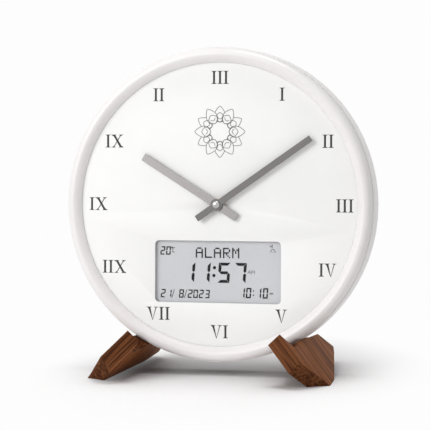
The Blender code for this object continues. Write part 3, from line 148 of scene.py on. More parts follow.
# %% [markdown]
# ## Small tools for shaders
#
# The floor, the world and every finish are built from the same few nodes. Written out each
# time, they would hide what a material does. So each is a short function here. It takes
# numbers, colours or the outputs of other nodes, and gives back an output.


# %% Sums, contrast and mixtures
def feed(tree, socket, value):
    """Links an output to a socket, or sets the socket to a number, vector or colour."""
    if isinstance(value, bpy.types.NodeSocket):
        tree.links.new(value, socket)
    else:
        socket.default_value = value


def arithmetic(tree, operation, first, second):
    """A Math node. Each of the two values is a number or an output."""
    node = tree.nodes.new("ShaderNodeMath")
    node.operation = operation
    feed(tree, node.inputs[0], first)
    feed(tree, node.inputs[1], second)
    return node.outputs[0]


def vector_step(tree, operation, *values):
    """The outputs of a Vector Math node. Each value is a vector or an output."""
    node = tree.nodes.new("ShaderNodeVectorMath")
    node.operation = operation
    for socket, value in zip(node.inputs, values):
        feed(tree, socket, value)
    return node.outputs


def contrast(tree, value, low, high):
    """Stretches the values from low to high over 0 to 1."""
    node = tree.nodes.new("ShaderNodeMapRange")
    node.interpolation_type = "SMOOTHSTEP"
    node.inputs["From Min"].default_value = low
    node.inputs["From Max"].default_value = high
    tree.links.new(value, node.inputs["Value"])
    return node.outputs["Result"]


def blend_colours(tree, share, first, second):
    """Mixes two colours by a share from 0 to 1. Each is a colour or an output."""
    node = tree.nodes.new("ShaderNodeMix")
    node.data_type = "RGBA"
    feed(tree, node.inputs["Factor"], share)
    feed(tree, node.inputs[6], first)
    feed(tree, node.inputs[7], second)
    return node.outputs[2]


def blend_shaders(tree, share, first, second):
    """Mixes two shaders by a share from 0 to 1."""
    node = tree.nodes.new("ShaderNodeMixShader")
    tree.links.new(share, node.inputs["Fac"])
    tree.links.new(first, node.inputs[1])
    tree.links.new(second, node.inputs[2])
    return node.outputs["Shader"]


# %% Patterns, places and a new material
def noise(tree, vector, scale, detail, rough=0.5):
    """A noise texture on that vector. scale is a number or an output."""
    texture = tree.nodes.new("ShaderNodeTexNoise")
    texture.inputs["Detail"].default_value = detail
    texture.inputs["Roughness"].default_value = rough
    feed(tree, texture.inputs["Vector"], vector)
    feed(tree, texture.inputs["Scale"], scale)
    return texture.outputs["Fac"]


def coordinates(tree):
    """Object coordinates, which are metres in the clock's frame."""
    return tree.nodes.new("ShaderNodeTexCoord").outputs["Object"]


def new_material(name):
    """A node material and its Principled shader."""
    material = bpy.data.materials.new(name)
    material.use_nodes = True
    return material, material.node_tree.nodes["Principled BSDF"]


# %% [markdown]
# ## Floor and light
#
# The clock stands on a white sweep under soft studio light. A white background could be
# made with stronger lamps, but then the white case would lose its shape. So the floor takes
# light and shadow only within an oval round the feet. Further out, and in the world behind
# it, rays from the camera, from gloss and through glass meet plain white, whatever the
# lamps do. The same rays see the floor darker where the clock stands close above it. As no
# other ray does, this shade leaves the light on the case as it is.

# %% Studio sizes
FLOOR_HALF_SIZE = 30
FLOOR_COLOUR = (0.95, 0.9405, 0.9405, 1)
FLOOR_ROUGHNESS = 0.9
FADE_START = 0.1
FADE_END = 0.26
FADE_STRETCH = (1.3, 1, 1)
FADE_SHIFT = (-0.012, 0, 0)
CONTACT_REACH = 0.12
CONTACT_DEPTH = 0.75
CONTACT_SAMPLES = 8
BACKGROUND_WHITE = (0.983, 0.983, 0.983, 1)
SKY_STRENGTH = 0.42
LAMPS = (
    ("key_lamp", Vector((-1.9, -2.7, 1.6)), 2.1, 75),
    ("top_lamp", Vector((0.25, 0.0, 2.1)), 0.8, 16),
)


# %% Rays that see the background
def seen_rays(tree):
    """1 for rays from the camera, from gloss and through glass, else 0."""
    rays = tree.nodes.new("ShaderNodeLightPath").outputs
    seen = arithmetic(tree, "MAXIMUM", rays["Is Camera Ray"], rays["Is Glossy Ray"])
    return arithmetic(tree, "MAXIMUM", seen, rays["Is Transmission Ray"])


# %% The floor's colour, darker close to the clock
floor_material, lit = new_material("studio_floor")
floor_tree = floor_material.node_tree
contact = floor_tree.nodes.new("ShaderNodeAmbientOcclusion")
contact.samples = CONTACT_SAMPLES
contact.inputs["Distance"].default_value = CONTACT_REACH
shade = arithmetic(floor_tree, "POWER", contact.outputs["AO"], CONTACT_DEPTH)
unseen = arithmetic(floor_tree, "SUBTRACT", 1, seen_rays(floor_tree))
kept = arithmetic(floor_tree, "MAXIMUM", shade, unseen)
tone = blend_colours(floor_tree, kept, (0, 0, 0, 1), FLOOR_COLOUR)
floor_tree.links.new(tone, lit.inputs["Base Color"])
lit.inputs["Roughness"].default_value = FLOOR_ROUGHNESS
lit.inputs["Specular IOR Level"].default_value = 0.0
print("contact shade reaches", CONTACT_REACH, "m")

# %% The floor fades to plain white outside an oval
oval = vector_step(
    floor_tree, "MULTIPLY_ADD", coordinates(floor_tree), FADE_STRETCH, FADE_SHIFT
)["Vector"]
distance = vector_step(floor_tree, "LENGTH", oval)["Value"]
fade = contrast(floor_tree, distance, FADE_START, FADE_END)
share = arithmetic(floor_tree, "MULTIPLY", fade, seen_rays(floor_tree))
plain = floor_tree.nodes.new("ShaderNodeEmission")
plain.inputs["Color"].default_value = BACKGROUND_WHITE
sweep = blend_shaders(floor_tree, share, lit.outputs["BSDF"], plain.outputs["Emission"])
floor_tree.links.new(sweep, floor_tree.nodes["Material Output"].inputs["Surface"])

floor_shape = bmesh.new()
bmesh.ops.create_grid(floor_shape, x_segments=1, y_segments=1, size=FLOOR_HALF_SIZE)
floor_mesh = bpy.data.meshes.new("floor")
floor_shape.to_mesh(floor_mesh)
floor_shape.free()
floor = bpy.data.objects.new("floor", floor_mesh)
floor.data.materials.append(floor_material)
bpy.context.scene.collection.objects.link(floor)
floor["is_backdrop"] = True
print("floor fades to white from", FADE_START, "to", FADE_END, "m")

# %% The world: soft light on the clock, white to the eye
world = bpy.data.worlds.new("studio")
bpy.context.scene.world = world
world.use_nodes = True
world_tree = world.node_tree
soft = world_tree.nodes["Background"]
soft.inputs["Color"].default_value = (1, 1, 1, 1)
soft.inputs["Strength"].default_value = SKY_STRENGTH
white = world_tree.nodes.new("ShaderNodeBackground")
white.inputs["Color"].default_value = BACKGROUND_WHITE
backdrop = blend_shaders(
    world_tree, seen_rays(world_tree), soft.outputs["Background"], white.outputs["Background"]
)
world_tree.links.new(backdrop, world_tree.nodes["World Output"].inputs["Surface"])
bpy.context.scene.view_settings.view_transform = "Standard"


# %% Two soft lamps: a large key at the left and one overhead
def soft_box(name, place, size, power):
    """A square lamp that looks at the clock."""
    data = bpy.data.lights.new(name, "AREA")
    data.shape = "SQUARE"
    data.size = size
    data.energy = power
    lamp = bpy.data.objects.new(name, data)
    lamp.location = CENTRE + place
    lamp.rotation_euler = (-place).to_track_quat("-Z", "Y").to_euler()
    bpy.context.scene.collection.objects.link(lamp)
    print(name, round(place.length, 2), "m from the clock")


for lamp_values in LAMPS:
    soft_box(*lamp_values)

# %% [markdown]
# ## Effects that several finishes share
#
# Moulded plastic, brushed metal and wood are never one flat colour: plastic has faint
# patches and a fine skin, metal has brush lines that run one way, and wood has rings,
# streaks and pores along its length. Each effect is a node group that is built once, with
# inputs for its colours and scales, and every material sets its own values. The shader
# itself stays in the material.


# %% Helpers that start and end a node group
SURFACE_OUTPUTS = {
    "Colour": "NodeSocketColor",
    "Roughness": "NodeSocketFloat",
    "Height": "NodeSocketFloat",
}


def new_effect(name, inputs):
    """A node group with (name, type, value) inputs, their outputs inside it, and its end."""
    group = bpy.data.node_groups.new(name, "ShaderNodeTree")
    for label, kind, value in inputs:
        socket = group.interface.new_socket(label, in_out="INPUT", socket_type=kind)
        if value is not None:
            socket.default_value = value
    for label, kind in SURFACE_OUTPUTS.items():
        group.interface.new_socket(label, in_out="OUTPUT", socket_type=kind)
    given = group.nodes.new("NodeGroupInput").outputs
    end = group.nodes.new("NodeGroupOutput")
    return group, given, end


def put_out(group, end, colour, rough, height):
    """Joins the three results to the group's outputs."""
    for label, result in zip(SURFACE_OUTPUTS, (colour, rough, height)):
        group.links.new(result, end.inputs[label])


# %% Moulded skin: faint patches of tone and a fine grain
PATCH_RANGE = (0.3, 0.7)
skin, given, end = new_effect(
    "moulded_skin",
    [
        ("Vector", "NodeSocketVector", None),
        ("Colour", "NodeSocketColor", (0.8, 0.8, 0.8, 1)),
        ("Patch Colour", "NodeSocketColor", (0.7, 0.7, 0.7, 1)),
        ("Patches", "NodeSocketFloat", 25.0),
        ("Grain", "NodeSocketFloat", 2500.0),
        ("Roughness", "NodeSocketFloat", 0.4),
        ("Roughness Spread", "NodeSocketFloat", 0.08),
    ],
)
clouds = noise(skin, given["Vector"], given["Patches"], detail=3)
patches = contrast(skin, clouds, *PATCH_RANGE)
grain = noise(skin, given["Vector"], given["Grain"], detail=2)
colour = blend_colours(skin, patches, given["Colour"], given["Patch Colour"])
centred = arithmetic(skin, "SUBTRACT", patches, 0.5)
change = arithmetic(skin, "MULTIPLY", centred, given["Roughness Spread"])
rough = arithmetic(skin, "ADD", change, given["Roughness"])
put_out(skin, end, colour, rough, grain)


# %% Lengthways: stretches a pattern along one direction
def stretched(tree, vector, along, share):
    """Squeezes a vector along a direction, so that a pattern on it runs that way."""
    amount = vector_step(tree, "DOT_PRODUCT", vector, along)["Value"]
    part = tree.nodes.new("ShaderNodeVectorMath")
    part.operation = "SCALE"
    tree.links.new(along, part.inputs[0])
    tree.links.new(arithmetic(tree, "MULTIPLY", amount, 1 - share), part.inputs["Scale"])
    return vector_step(tree, "SUBTRACT", vector, part.outputs["Vector"])["Vector"]


# %% Brush lines: fine streaks that run along the metal
BRUSH_STRETCH = 0.02
BRUSH_RANGE = (0.25, 0.75)
BRUSH_ROUGHNESS = 0.12
brushed, given, end = new_effect(
    "brush_lines",
    [
        ("Vector", "NodeSocketVector", None),
        ("Along", "NodeSocketVector", (1, 0, 0)),
        ("Colour", "NodeSocketColor", (0.6, 0.6, 0.6, 1)),
        ("Line Colour", "NodeSocketColor", (0.5, 0.5, 0.5, 1)),
        ("Fineness", "NodeSocketFloat", 3000.0),
        ("Roughness", "NodeSocketFloat", 0.35),
    ],
)
lengthways = stretched(brushed, given["Vector"], given["Along"], BRUSH_STRETCH)
lines = noise(brushed, lengthways, given["Fineness"], detail=4, rough=0.6)
marks = contrast(brushed, lines, *BRUSH_RANGE)
colour = blend_colours(brushed, marks, given["Colour"], given["Line Colour"])
change = arithmetic(brushed, "MULTIPLY", marks, BRUSH_ROUGHNESS)
rough = arithmetic(brushed, "ADD", change, given["Roughness"])
put_out(brushed, end, colour, rough, lines)

# %% Wood: how strongly each layer of its figure shows
STREAK_STRENGTH = 0.7
PORE_STRENGTH = 0.5
STREAK_DEPTH = -0.4
PORE_DEPTH = -1.0
WOOD_ROUGHNESS = 0.58
PORE_ROUGHNESS = 0.15
# The broad faces take a lighter tone: partly the wood's real tone, partly painted light and sheen from above.
BROAD_FACE_PAINTED_LIGHT = (2.05, 2.1, 1.95)
BROAD_FACE_LIGHT_RANGE = (0.75, 0.95)
wood, given, end = new_effect(
    "wood_figure",
    [
        ("Vector", "NodeSocketVector", None),
        ("Along", "NodeSocketVector", (0, 0, 1)),
        ("Board", "NodeSocketVector", (0, 0, 1)),
        ("Light", "NodeSocketColor", (0.3, 0.15, 0.08, 1)),
        ("Middle", "NodeSocketColor", (0.2, 0.1, 0.05, 1)),
        ("Dark", "NodeSocketColor", (0.08, 0.03, 0.02, 1)),
    ],
)


# %% Wood: broad rings, narrow streaks and short dark pores
def layer(vector, scale, detail, low, high):
    """One layer of the wood's figure: a noise with its contrast stretched."""
    return contrast(wood, noise(wood, vector, scale, detail), low, high)


slow = stretched(wood, given["Vector"], given["Along"], 0.08)
fast = stretched(wood, given["Vector"], given["Along"], 0.03)
rings = layer(slow, scale=110, detail=3, low=0.34, high=0.66)
streaks = layer(fast, scale=470, detail=2, low=0.44, high=0.62)
pores = layer(fast, scale=1500, detail=2, low=0.6, high=0.72)
ground = blend_colours(wood, rings, given["Light"], given["Middle"])
streak_share = arithmetic(wood, "MULTIPLY", streaks, STREAK_STRENGTH)
pore_share = arithmetic(wood, "MULTIPLY", pores, PORE_STRENGTH)
streaked = blend_colours(wood, streak_share, ground, given["Dark"])
colour = blend_colours(wood, pore_share, streaked, given["Dark"])
print("the wood's figure has 3 layers")

# %% Wood: lighter on the board's broad faces than on its sawn edges, partly the wood's real tone and partly painted light and sheen
surface = wood.nodes.new("ShaderNodeNewGeometry")
facing = vector_step(wood, "DOT_PRODUCT", surface.outputs["Normal"], given["Board"])
square_on = arithmetic(wood, "ABSOLUTE", facing["Value"], 0)
lit_face_share = contrast(wood, square_on, *BROAD_FACE_LIGHT_RANGE)
# Painted light and sheen, with some real tone: the broad faces are made lighter than the sawn edges.
painted_face_light = vector_step(wood, "MULTIPLY", colour, BROAD_FACE_PAINTED_LIGHT)["Vector"]
colour = blend_colours(wood, lit_face_share, colour, painted_face_light)
pore_roughness = arithmetic(wood, "MULTIPLY", pores, PORE_ROUGHNESS)
rough = arithmetic(wood, "ADD", pore_roughness, WOOD_ROUGHNESS)
streak_depth = arithmetic(wood, "MULTIPLY", streaks, STREAK_DEPTH)
pore_depth = arithmetic(wood, "MULTIPLY", pores, PORE_DEPTH)
height = arithmetic(wood, "ADD", streak_depth, pore_depth)
put_out(wood, end, colour, rough, height)
print("shared effects:", ", ".join(group.name for group in bpy.data.node_groups))

# %% [markdown]
# ## Finishes
#
# Each finish is one material around a shared effect. The effect gives the colour, the
# roughness and the height of the fine surface. What is the same everywhere, such as how
# metallic it is, is set on the shader. The patterns read Object coordinates. As every
# object sits at the origin, these are metres in the clock's own frame.


# %% Helpers that join an effect to a shader
def use_effect(material, group, values, depth):
    """Joins a group to the material's shader, with a bump of that depth in metres."""
    tree = material.node_tree
    shader = tree.nodes["Principled BSDF"]
    effect = tree.nodes.new("ShaderNodeGroup")
    effect.node_tree = group
    tree.links.new(coordinates(tree), effect.inputs["Vector"])
    for label, value in values.items():
        effect.inputs[label].default_value = value
    tree.links.new(effect.outputs["Colour"], shader.inputs["Base Color"])
    tree.links.new(effect.outputs["Roughness"], shader.inputs["Roughness"])
    if depth:
        bump = tree.nodes.new("ShaderNodeBump")
        bump.inputs["Distance"].default_value = depth
        tree.links.new(effect.outputs["Height"], bump.inputs["Height"])
        tree.links.new(bump.outputs["Normal"], shader.inputs["Normal"])


def opaque(red, green, blue):
    """A colour that nothing shows through."""
    return (red, green, blue, 1)


def set_specular(material, level):
    """Sets how strongly a finish that isn't metal reflects."""
    shader = material.node_tree.nodes["Principled BSDF"]
    shader.inputs["Specular IOR Level"].default_value = level


# %% Moulded plastics, rubber, paper and board
SKIN_DEPTH = 0.00002
SKIN_PATCHES = 25.0
DIAL_SPECULAR = 0.12


def moulded(name, colour, patch, rough, depth=SKIN_DEPTH, patches=SKIN_PATCHES):
    """A moulded or matt finish."""
    material = new_material(name)[0]
    values = {
        "Colour": opaque(*colour),
        "Patch Colour": opaque(*patch),
        "Patches": patches,
        "Roughness": rough,
    }
    use_effect(material, skin, values, depth)
    return material


MOULDED = {
    "white_plastic": ("satin_white_plastic", (0.795, 0.772, 0.765), (0.815, 0.792, 0.788), 0.36),
    "dial_white": ("matt_dial_white", (0.88, 0.88, 0.875), (0.895, 0.895, 0.89), 0.85),
    "black_plastic": ("black_plastic", (0.03, 0.03, 0.032), (0.04, 0.04, 0.042), 0.45),
    "natural_plastic": ("natural_acetal", (0.72, 0.69, 0.6), (0.76, 0.73, 0.65), 0.4),
    "black_rubber": ("black_rubber", (0.02, 0.02, 0.02), (0.035, 0.035, 0.035), 0.8),
    "grey_rubber": ("grey_silicone", (0.22, 0.22, 0.24), (0.27, 0.27, 0.28), 0.7),
    "circuit_board": (
        "green_laminate", (0.02, 0.12, 0.04), (0.03, 0.17, 0.06), 0.35, SKIN_DEPTH, 180.0,
    ),
    "cell_wrap": ("cell_wrap", (0.05, 0.14, 0.09), (0.06, 0.17, 0.11), 0.3),
    "cone_paper": (
        "black_cone_paper", (0.012, 0.012, 0.013), (0.03, 0.03, 0.032), 0.85, 0.0001, 120.0,
    ),
}
finishes = {slot: moulded(*values) for slot, values in MOULDED.items()}
set_specular(finishes["dial_white"], DIAL_SPECULAR)
print(len(finishes), "moulded finishes")


# %% Metals
BRUSH_DEPTH = 0.000004


def metal(name, colour, line, rough, along=(1, 0, 0), depth=BRUSH_DEPTH):
    """A metal with brush lines along one direction."""
    material, shader = new_material(name)
    shader.inputs["Metallic"].default_value = 1.0
    values = {
        "Along": along,
        "Colour": opaque(*colour),
        "Line Colour": opaque(*line),
        "Roughness": rough,
    }
    use_effect(material, brushed, values, depth)
    return material


def clock_direction(degrees):
    """A direction on the dial, clockwise from 12, in the frame's axes."""
    turn = math.radians(degrees)
    return tuple(RIGHT * math.sin(turn) + UP * math.cos(turn))


METALS = {
    "dark_hand": (
        "dark_anodised_hand", (0.145, 0.14, 0.137), (0.175, 0.166, 0.163), 0.32,
        clock_direction(55.2), 0,
    ),
    "silver_hand": (
        "brushed_silver_hand", (0.28, 0.267, 0.265), (0.33, 0.317, 0.313), 0.34,
        clock_direction(302), 0,
    ),
    "cap_chrome": ("polished_cap", (0.5, 0.49, 0.485), (0.48, 0.47, 0.465), 0.12, (1, 0, 0), 0),
    "steel": ("bright_steel", (0.55, 0.54, 0.53), (0.62, 0.61, 0.6), 0.28),
    "brass": ("brass", (0.7, 0.48, 0.18), (0.76, 0.54, 0.22), 0.28),
    "copper_wire": ("copper_winding", (0.5, 0.16, 0.06), (0.62, 0.24, 0.1), 0.35),
}
for slot, values in METALS.items():
    finishes[slot] = metal(*values)
print(len(finishes), "finishes with the metals")


# %% Walnut, with the grain along each leg
FOOT_LEAN = math.radians(47)
GRAIN_TURN = math.radians(22.2)
WALNUT_SPECULAR = 0.04
WALNUT_DEPTH = 0.00012


def walnut(name, side):
    """Oiled walnut whose grain runs along the front edge of one foot."""
    down = Vector((side * math.cos(FOOT_LEAN), 0, -math.sin(FOOT_LEAN)))
    grain = down * math.cos(GRAIN_TURN) - Vector((0, math.sin(GRAIN_TURN), 0))
    to_frame = CLOCK.to_3x3()
    material = new_material(name)[0]
    set_specular(material, WALNUT_SPECULAR)
    values = {
        "Along": tuple(to_frame @ grain),
        # The board's normal picks its broad faces, which get the lighter tone: partly real, partly painted light
        # and sheen.
        "Board": tuple(to_frame @ down.cross(Vector((0, 1, 0)))),
        "Light": opaque(0.16, 0.058, 0.022),
        "Middle": opaque(0.09, 0.028, 0.0095),
        "Dark": opaque(0.022, 0.0068, 0.003),
    }
    use_effect(material, wood, values, WALNUT_DEPTH)
    return material


finishes["walnut"] = walnut("walnut_right", 1)
left_walnut = walnut("walnut_left", -1)

# %% Display glass and the clear window over it
WINDOW_ALPHA = 0.06
GLASS_PATCHES = 14.0
finishes["lcd_glass"] = moulded(
    "grey_display_glass", (0.71, 0.72, 0.75), (0.73, 0.74, 0.765), 0.4, 0, GLASS_PATCHES
)
clear, shader = new_material("clear_window")
tint = {
    "Colour": opaque(0.1, 0.1, 0.11),
    "Patch Colour": opaque(0.14, 0.14, 0.15),
    "Roughness": 0.06,
    "Roughness Spread": 0.03,
}
use_effect(clear, skin, tint, 0)
shader.inputs["Alpha"].default_value = WINDOW_ALPHA
finishes["clear_window"] = clear


# %% Printing ink and display segments
INK_SPECULAR = 0.1


def ink(name, colour, patch, rough):
    """A flat finish that reflects little."""
    material = moulded(name, colour, patch, rough, depth=0)
    set_specular(material, INK_SPECULAR)
    return material


numeral_ink = ink("dark_grey_ink", (0.05, 0.05, 0.05), (0.065, 0.065, 0.065), 0.6)
ornament_ink = ink("mid_grey_ink", (0.15, 0.15, 0.15), (0.18, 0.18, 0.18), 0.6)
segment_black = ink("segment_black", (0.006, 0.006, 0.008), (0.01, 0.01, 0.012), 0.5)
segment_grey = ink("segment_grey", (0.02, 0.02, 0.024), (0.03, 0.03, 0.034), 0.5)
for node in frame["nodes"].values():
    slot = node.material_slots[0]
    slot.material = finishes[slot.material.name]
print("every part of the frame has its finish")

# %% [markdown]
# ## Tools of the workshop
#
# A new piece starts as a bmesh in the clock's axes. One helper carries it onto the clock,
# names it, gives it a finish and lets it ride on the body that it belongs to. A part whose
# shape is right but whose edges are knife sharp is dressed: its triangles are merged, flat
# areas become single faces, and every sharp edge gets a small round, as a moulded or
# sawn edge has. Highlights along those rounds are what makes an edge look real.


# %% A helper that finishes a piece
SMOOTH_BELOW = math.radians(40)


def finish_piece(name, shape, body, slot, material=None, in_clock_axes=True):
    """Makes an object of the bmesh, in place, that rides on a body."""
    if in_clock_axes:
        bmesh.ops.transform(shape, matrix=CLOCK, verts=shape.verts)
    mesh = bpy.data.meshes.new(name)
    shape.to_mesh(mesh)
    shape.free()
    mesh.shade_smooth()
    mesh.set_sharp_from_angle(angle=SMOOTH_BELOW)
    mesh.materials.append(material or finishes[slot])
    piece = bpy.data.objects.new(name, mesh)
    bpy.context.scene.collection.objects.link(piece)
    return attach(piece, body)


BODY_OF = {
    node: body for body, nodes in frame["record"]["behaviour"]["bodies"].items() for node in nodes
}
MERGE_DISTANCE = 0.01 * MM
FLAT_BELOW = math.radians(0.6)


# %% A helper that dresses a part of the frame
def dressed(node, edge, segments=2, sharp_above=25, shortest=0.0, material=None):
    """Makes a copy of a part with its sharp edges rounded, which stands for the part."""
    shape = bmesh.new()
    shape.from_mesh(frame["nodes"][node].data)
    bmesh.ops.remove_doubles(shape, verts=shape.verts, dist=MERGE_DISTANCE)
    bmesh.ops.dissolve_limit(
        shape, angle_limit=FLAT_BELOW, use_dissolve_boundaries=False,
        verts=shape.verts, edges=shape.edges,
    )
    limit = math.radians(sharp_above)
    edges = [
        line for line in shape.edges
        if line.is_manifold and line.calc_face_angle() > limit and line.calc_length() > shortest
    ]
    bmesh.ops.bevel(
        shape, geom=edges, offset=edge, offset_type="OFFSET", affect="EDGES", segments=segments,
        profile=0.5, material=-1, clamp_overlap=True,
    )
    finish = frame["nodes"][node].material_slots[0].material
    slot = next(key for key, known in finishes.items() if known == finish)
    name = f"{node}_dressed"
    piece = finish_piece(name, shape, BODY_OF[node], slot, material, in_clock_axes=False)
    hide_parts(node)
    print(node, "dressed:", len(edges), "edges rounded,", len(piece.data.polygons), "faces")


# %% [markdown]
# ## Bezel
#
# The bezel is one injection moulded ring with a rounded front. It could be dressed, but
# its silhouette is the main line of the whole clock, so it is turned afresh: half of its
# cross section is drawn as a chain of points, with its rounds as arcs, and the chain is
# spun round the clock's axis in many steps. The inner round is a little flatter than an
# ellipse, so that the slope inside the crest keeps one even tone. Four round posts behind
# it take the screws.

# %% Bezel sizes, from the part it stands for
BEZEL_OUTER_WIDTH = 8 * MM
BEZEL_INNER_WIDTH = 7 * MM
BEZEL_ROUND_DEPTH = 8 * MM
INNER_FLATNESS = 1.35
BEZEL_WALL = 2.4 * MM
SEAM_ROUND = 0.4 * MM
SEAM_STEP = 1.0 * MM
BEZEL_STEPS = 256
ARC_STEPS = 12
POST_RADIUS = 3.4 * MM
POST_COUNT = 4
GAP = 0.3 * MM
HOLLOW_STEPS = 6
WELD_DISTANCE = 0.001 * MM
crest_radius = CASE_RADIUS - BEZEL_OUTER_WIDTH
bezel_back = dial_high.y
lip_back = DIAL_FRONT - GAP
print("crest radius", round(crest_radius / MM, 2), "mm")


# %% Arcs and turned shapes
def arc(centre, semi_axes, first, last, steps=ARC_STEPS, flatness=1.0):
    """Points on an ellipse from one angle to another, in degrees.

    A flatness above 1 straightens the curve between the ellipse's four ends.
    """
    points = []
    for step in range(steps + 1):
        turn = math.radians(first + (last - first) * step / steps)
        right = math.copysign(abs(math.cos(turn)) ** flatness, math.cos(turn))
        back = math.copysign(abs(math.sin(turn)) ** flatness, math.sin(turn))
        points.append((centre[0] + semi_axes[0] * right, centre[1] + semi_axes[1] * back))
    return points


def turned(profile, steps, closed):
    """Spins (radius, depth) points round the clock's axis."""
    shape = bmesh.new()
    points = [shape.verts.new((radius, depth, 0)) for radius, depth in profile]
    pairs = list(zip(points, points[1:]))
    if closed:
        pairs.append((points[-1], points[0]))
    lines = [shape.edges.new(pair) for pair in pairs]
    bmesh.ops.spin(
        shape, geom=points + lines, cent=(0, 0, 0), axis=(0, 1, 0), angle=2 * math.pi,
        steps=steps, use_merge=True, use_normal_flip=False, use_duplicate=False,
    )
    bmesh.ops.remove_doubles(shape, verts=shape.verts, dist=WELD_DISTANCE)
    bmesh.ops.recalc_face_normals(shape, faces=shape.faces)
    return shape


def add_rod(shape, radius, front, back, x, z, steps=24):
    """Adds a closed round bar along the clock's axis."""
    middle = Matrix.Translation((x, (front + back) / 2, z))
    lying = Matrix.Rotation(math.radians(90), 4, "X")
    bmesh.ops.create_cone(
        shape, cap_ends=True, segments=steps, radius1=radius, radius2=radius, depth=back - front,
        matrix=middle @ lying,
    )


# %% The bezel's cross section
inner_round = (BEZEL_INNER_WIDTH, lip_back)
outer_round = (BEZEL_OUTER_WIDTH - SEAM_STEP, BEZEL_ROUND_DEPTH)
bezel_edge = CASE_RADIUS - SEAM_STEP
inner_centre = (crest_radius, lip_back)
outer_centre = (crest_radius, BEZEL_ROUND_DEPTH)
hollow_in = (inner_round[0] - BEZEL_WALL, inner_round[1] - BEZEL_WALL)
hollow_out = (outer_round[0] - BEZEL_WALL, outer_round[1] - BEZEL_WALL)
profile = [(bezel_edge - SEAM_ROUND, bezel_back), (bezel_edge, bezel_back - SEAM_ROUND)]
profile += arc(outer_centre, outer_round, 0, -90)
profile += arc(inner_centre, inner_round, -90, -180, flatness=INNER_FLATNESS)[1:]
profile += arc(inner_centre, hollow_in, -180, -90, HOLLOW_STEPS)
profile += arc(outer_centre, hollow_out, -90, 0, HOLLOW_STEPS)[1:]
profile.append((CASE_RADIUS - BEZEL_WALL, bezel_back))
print("bezel drawn with", len(profile), "points")

# %% Turn the bezel and set its posts
bezel_shape = turned(profile, BEZEL_STEPS, closed=True)
for post in range(POST_COUNT):
    turn = 2 * math.pi * post / POST_COUNT
    x = crest_radius * math.sin(turn)
    z = crest_radius * math.cos(turn)
    add_rod(bezel_shape, POST_RADIUS, BEZEL_WALL / 2, bezel_high.y, x, z)
bezel = finish_piece("front_bezel_turned", bezel_shape, "case", "white_plastic")
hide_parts("front_bezel")
print("bezel of", len(bezel.data.polygons), "faces")

# %% [markdown]
# ## Case, dial, feet and hands
#
# These parts have the right shape in the frame. The housing and the small plastic parts
# get the small round of a mould, the dial the fine break of a punched edge, and the hands
# a narrow flat bevel, which catches the light where it faces the lamp. The feet are sawn
# from board and sanded, so their edges are eased by about a millimetre.

# %% Dress the moulded parts
MOULD_ROUND = 0.4 * MM
BUTTON_ROUND = 0.25 * MM
SMALL_ROUND = 0.2 * MM
PUNCHED_ROUND = 0.12 * MM
SHORTEST_EDGE = 1.0 * MM
dressed("rear_housing", MOULD_ROUND, shortest=SHORTEST_EDGE)
dressed("battery_cover", MOULD_ROUND)
for button in range(1, 5):
    dressed(f"push_button_{button}", BUTTON_ROUND)
dressed("switch_slider", BUTTON_ROUND)
dressed("setting_knob", SMALL_ROUND)
dressed("movement_cover", MOULD_ROUND)
dressed("mounting_nut", SMALL_ROUND)
dressed("dial_plate", PUNCHED_ROUND, shortest=SHORTEST_EDGE)

# %% Dress the feet
SANDED_ROUND = 1.1 * MM
SHORTEST_SAWN = 2.5 * MM
dressed("left_foot", SANDED_ROUND, segments=3, shortest=SHORTEST_SAWN, material=left_walnut)
dressed("right_foot", SANDED_ROUND, segments=3, shortest=SHORTEST_SAWN)

# %% Dress the hands
HAND_BEVEL = 0.55 * MM
for hand in ("minute_hand", "hour_hand"):
    dressed(hand, HAND_BEVEL, segments=1, sharp_above=40)

# %% Turn the domed cap over the hands
CAP_RIM = 0.35 * MM
CAP_STEPS = 64
cap_radius = cap_high.x
cap_height = cap_high.y - cap_low.y
rim_front = cap_high.y - CAP_RIM
profile = [(0, cap_high.y), (cap_radius, cap_high.y), (cap_radius, rim_front)]
profile += arc((0, rim_front), (cap_radius, cap_height - CAP_RIM), 0, -90)[1:]
cap_shape = turned(profile, CAP_STEPS, closed=False)
cap = finish_piece("hand_cap_turned", cap_shape, "minute_group", "cap_chrome")
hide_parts("hand_cap")
print("cap", round(2 * cap_radius / MM, 1), "mm across")

# %% [markdown]
# ## Numerals
#
# The dial is printed with Roman numerals whose strokes end in small feet. A font could be
# used, but one drawn from strokes needs no file: an upright, a thick diagonal and a thin
# one, and a foot for the end of each. The strokes are thin sheets of ink that lie on the
# dial. Those that cross differ by a hair in height, so that they never share a plane.

# %% Stroke sizes
CAP_HEIGHT = 12.3 * MM
STEM = 1.95 * MM
THICK = 2.3 * MM
THIN = 0.85 * MM
FOOT_HALF = 2.5 * MM
THICK_FOOT_HALF = 2.4 * MM
V_THIN_FOOT_HALF = 2.1 * MM
X_THIN_FOOT_HALF = 2.05 * MM
FOOT_EDGE = 0.38 * MM
FOOT_SLOPE = 1.0 * MM
FOOT_FLARE = (1.35, 1.6)
V_POINT = 0.35 * MM
V_POINT_PLACE = (0.1 * MM, -0.25 * MM)
V_TOPS = (-3.4 * MM, 3.5 * MM)
X_TOPS = (-3.55 * MM, 3.6 * MM)
X_BOTTOMS = (-3.85 * MM, 3.75 * MM)
LETTER_GAP = 0.85 * MM
INK = 0.1 * MM
INK_STEP = 0.012 * MM


# %% Sheets of ink
def add_sheet(shape, outline, front, back):
    """Adds a flat closed sheet with that (x, z) outline between two depths."""
    corners = [shape.verts.new((x, front, z)) for x, z in outline]
    face = shape.faces.new(corners)
    grown = bmesh.ops.extrude_face_region(shape, geom=[face], use_keep_orig=True)
    moved = [item for item in grown["geom"] if isinstance(item, bmesh.types.BMVert)]
    bmesh.ops.translate(shape, verts=moved, vec=(0, back - front, 0))


def add_ink(shape, outline, layer):
    """Adds a sheet of ink on the dial. Each layer is a hair thicker than the one before."""
    add_sheet(shape, outline, DIAL_FRONT - INK - layer * INK_STEP, DIAL_FRONT)


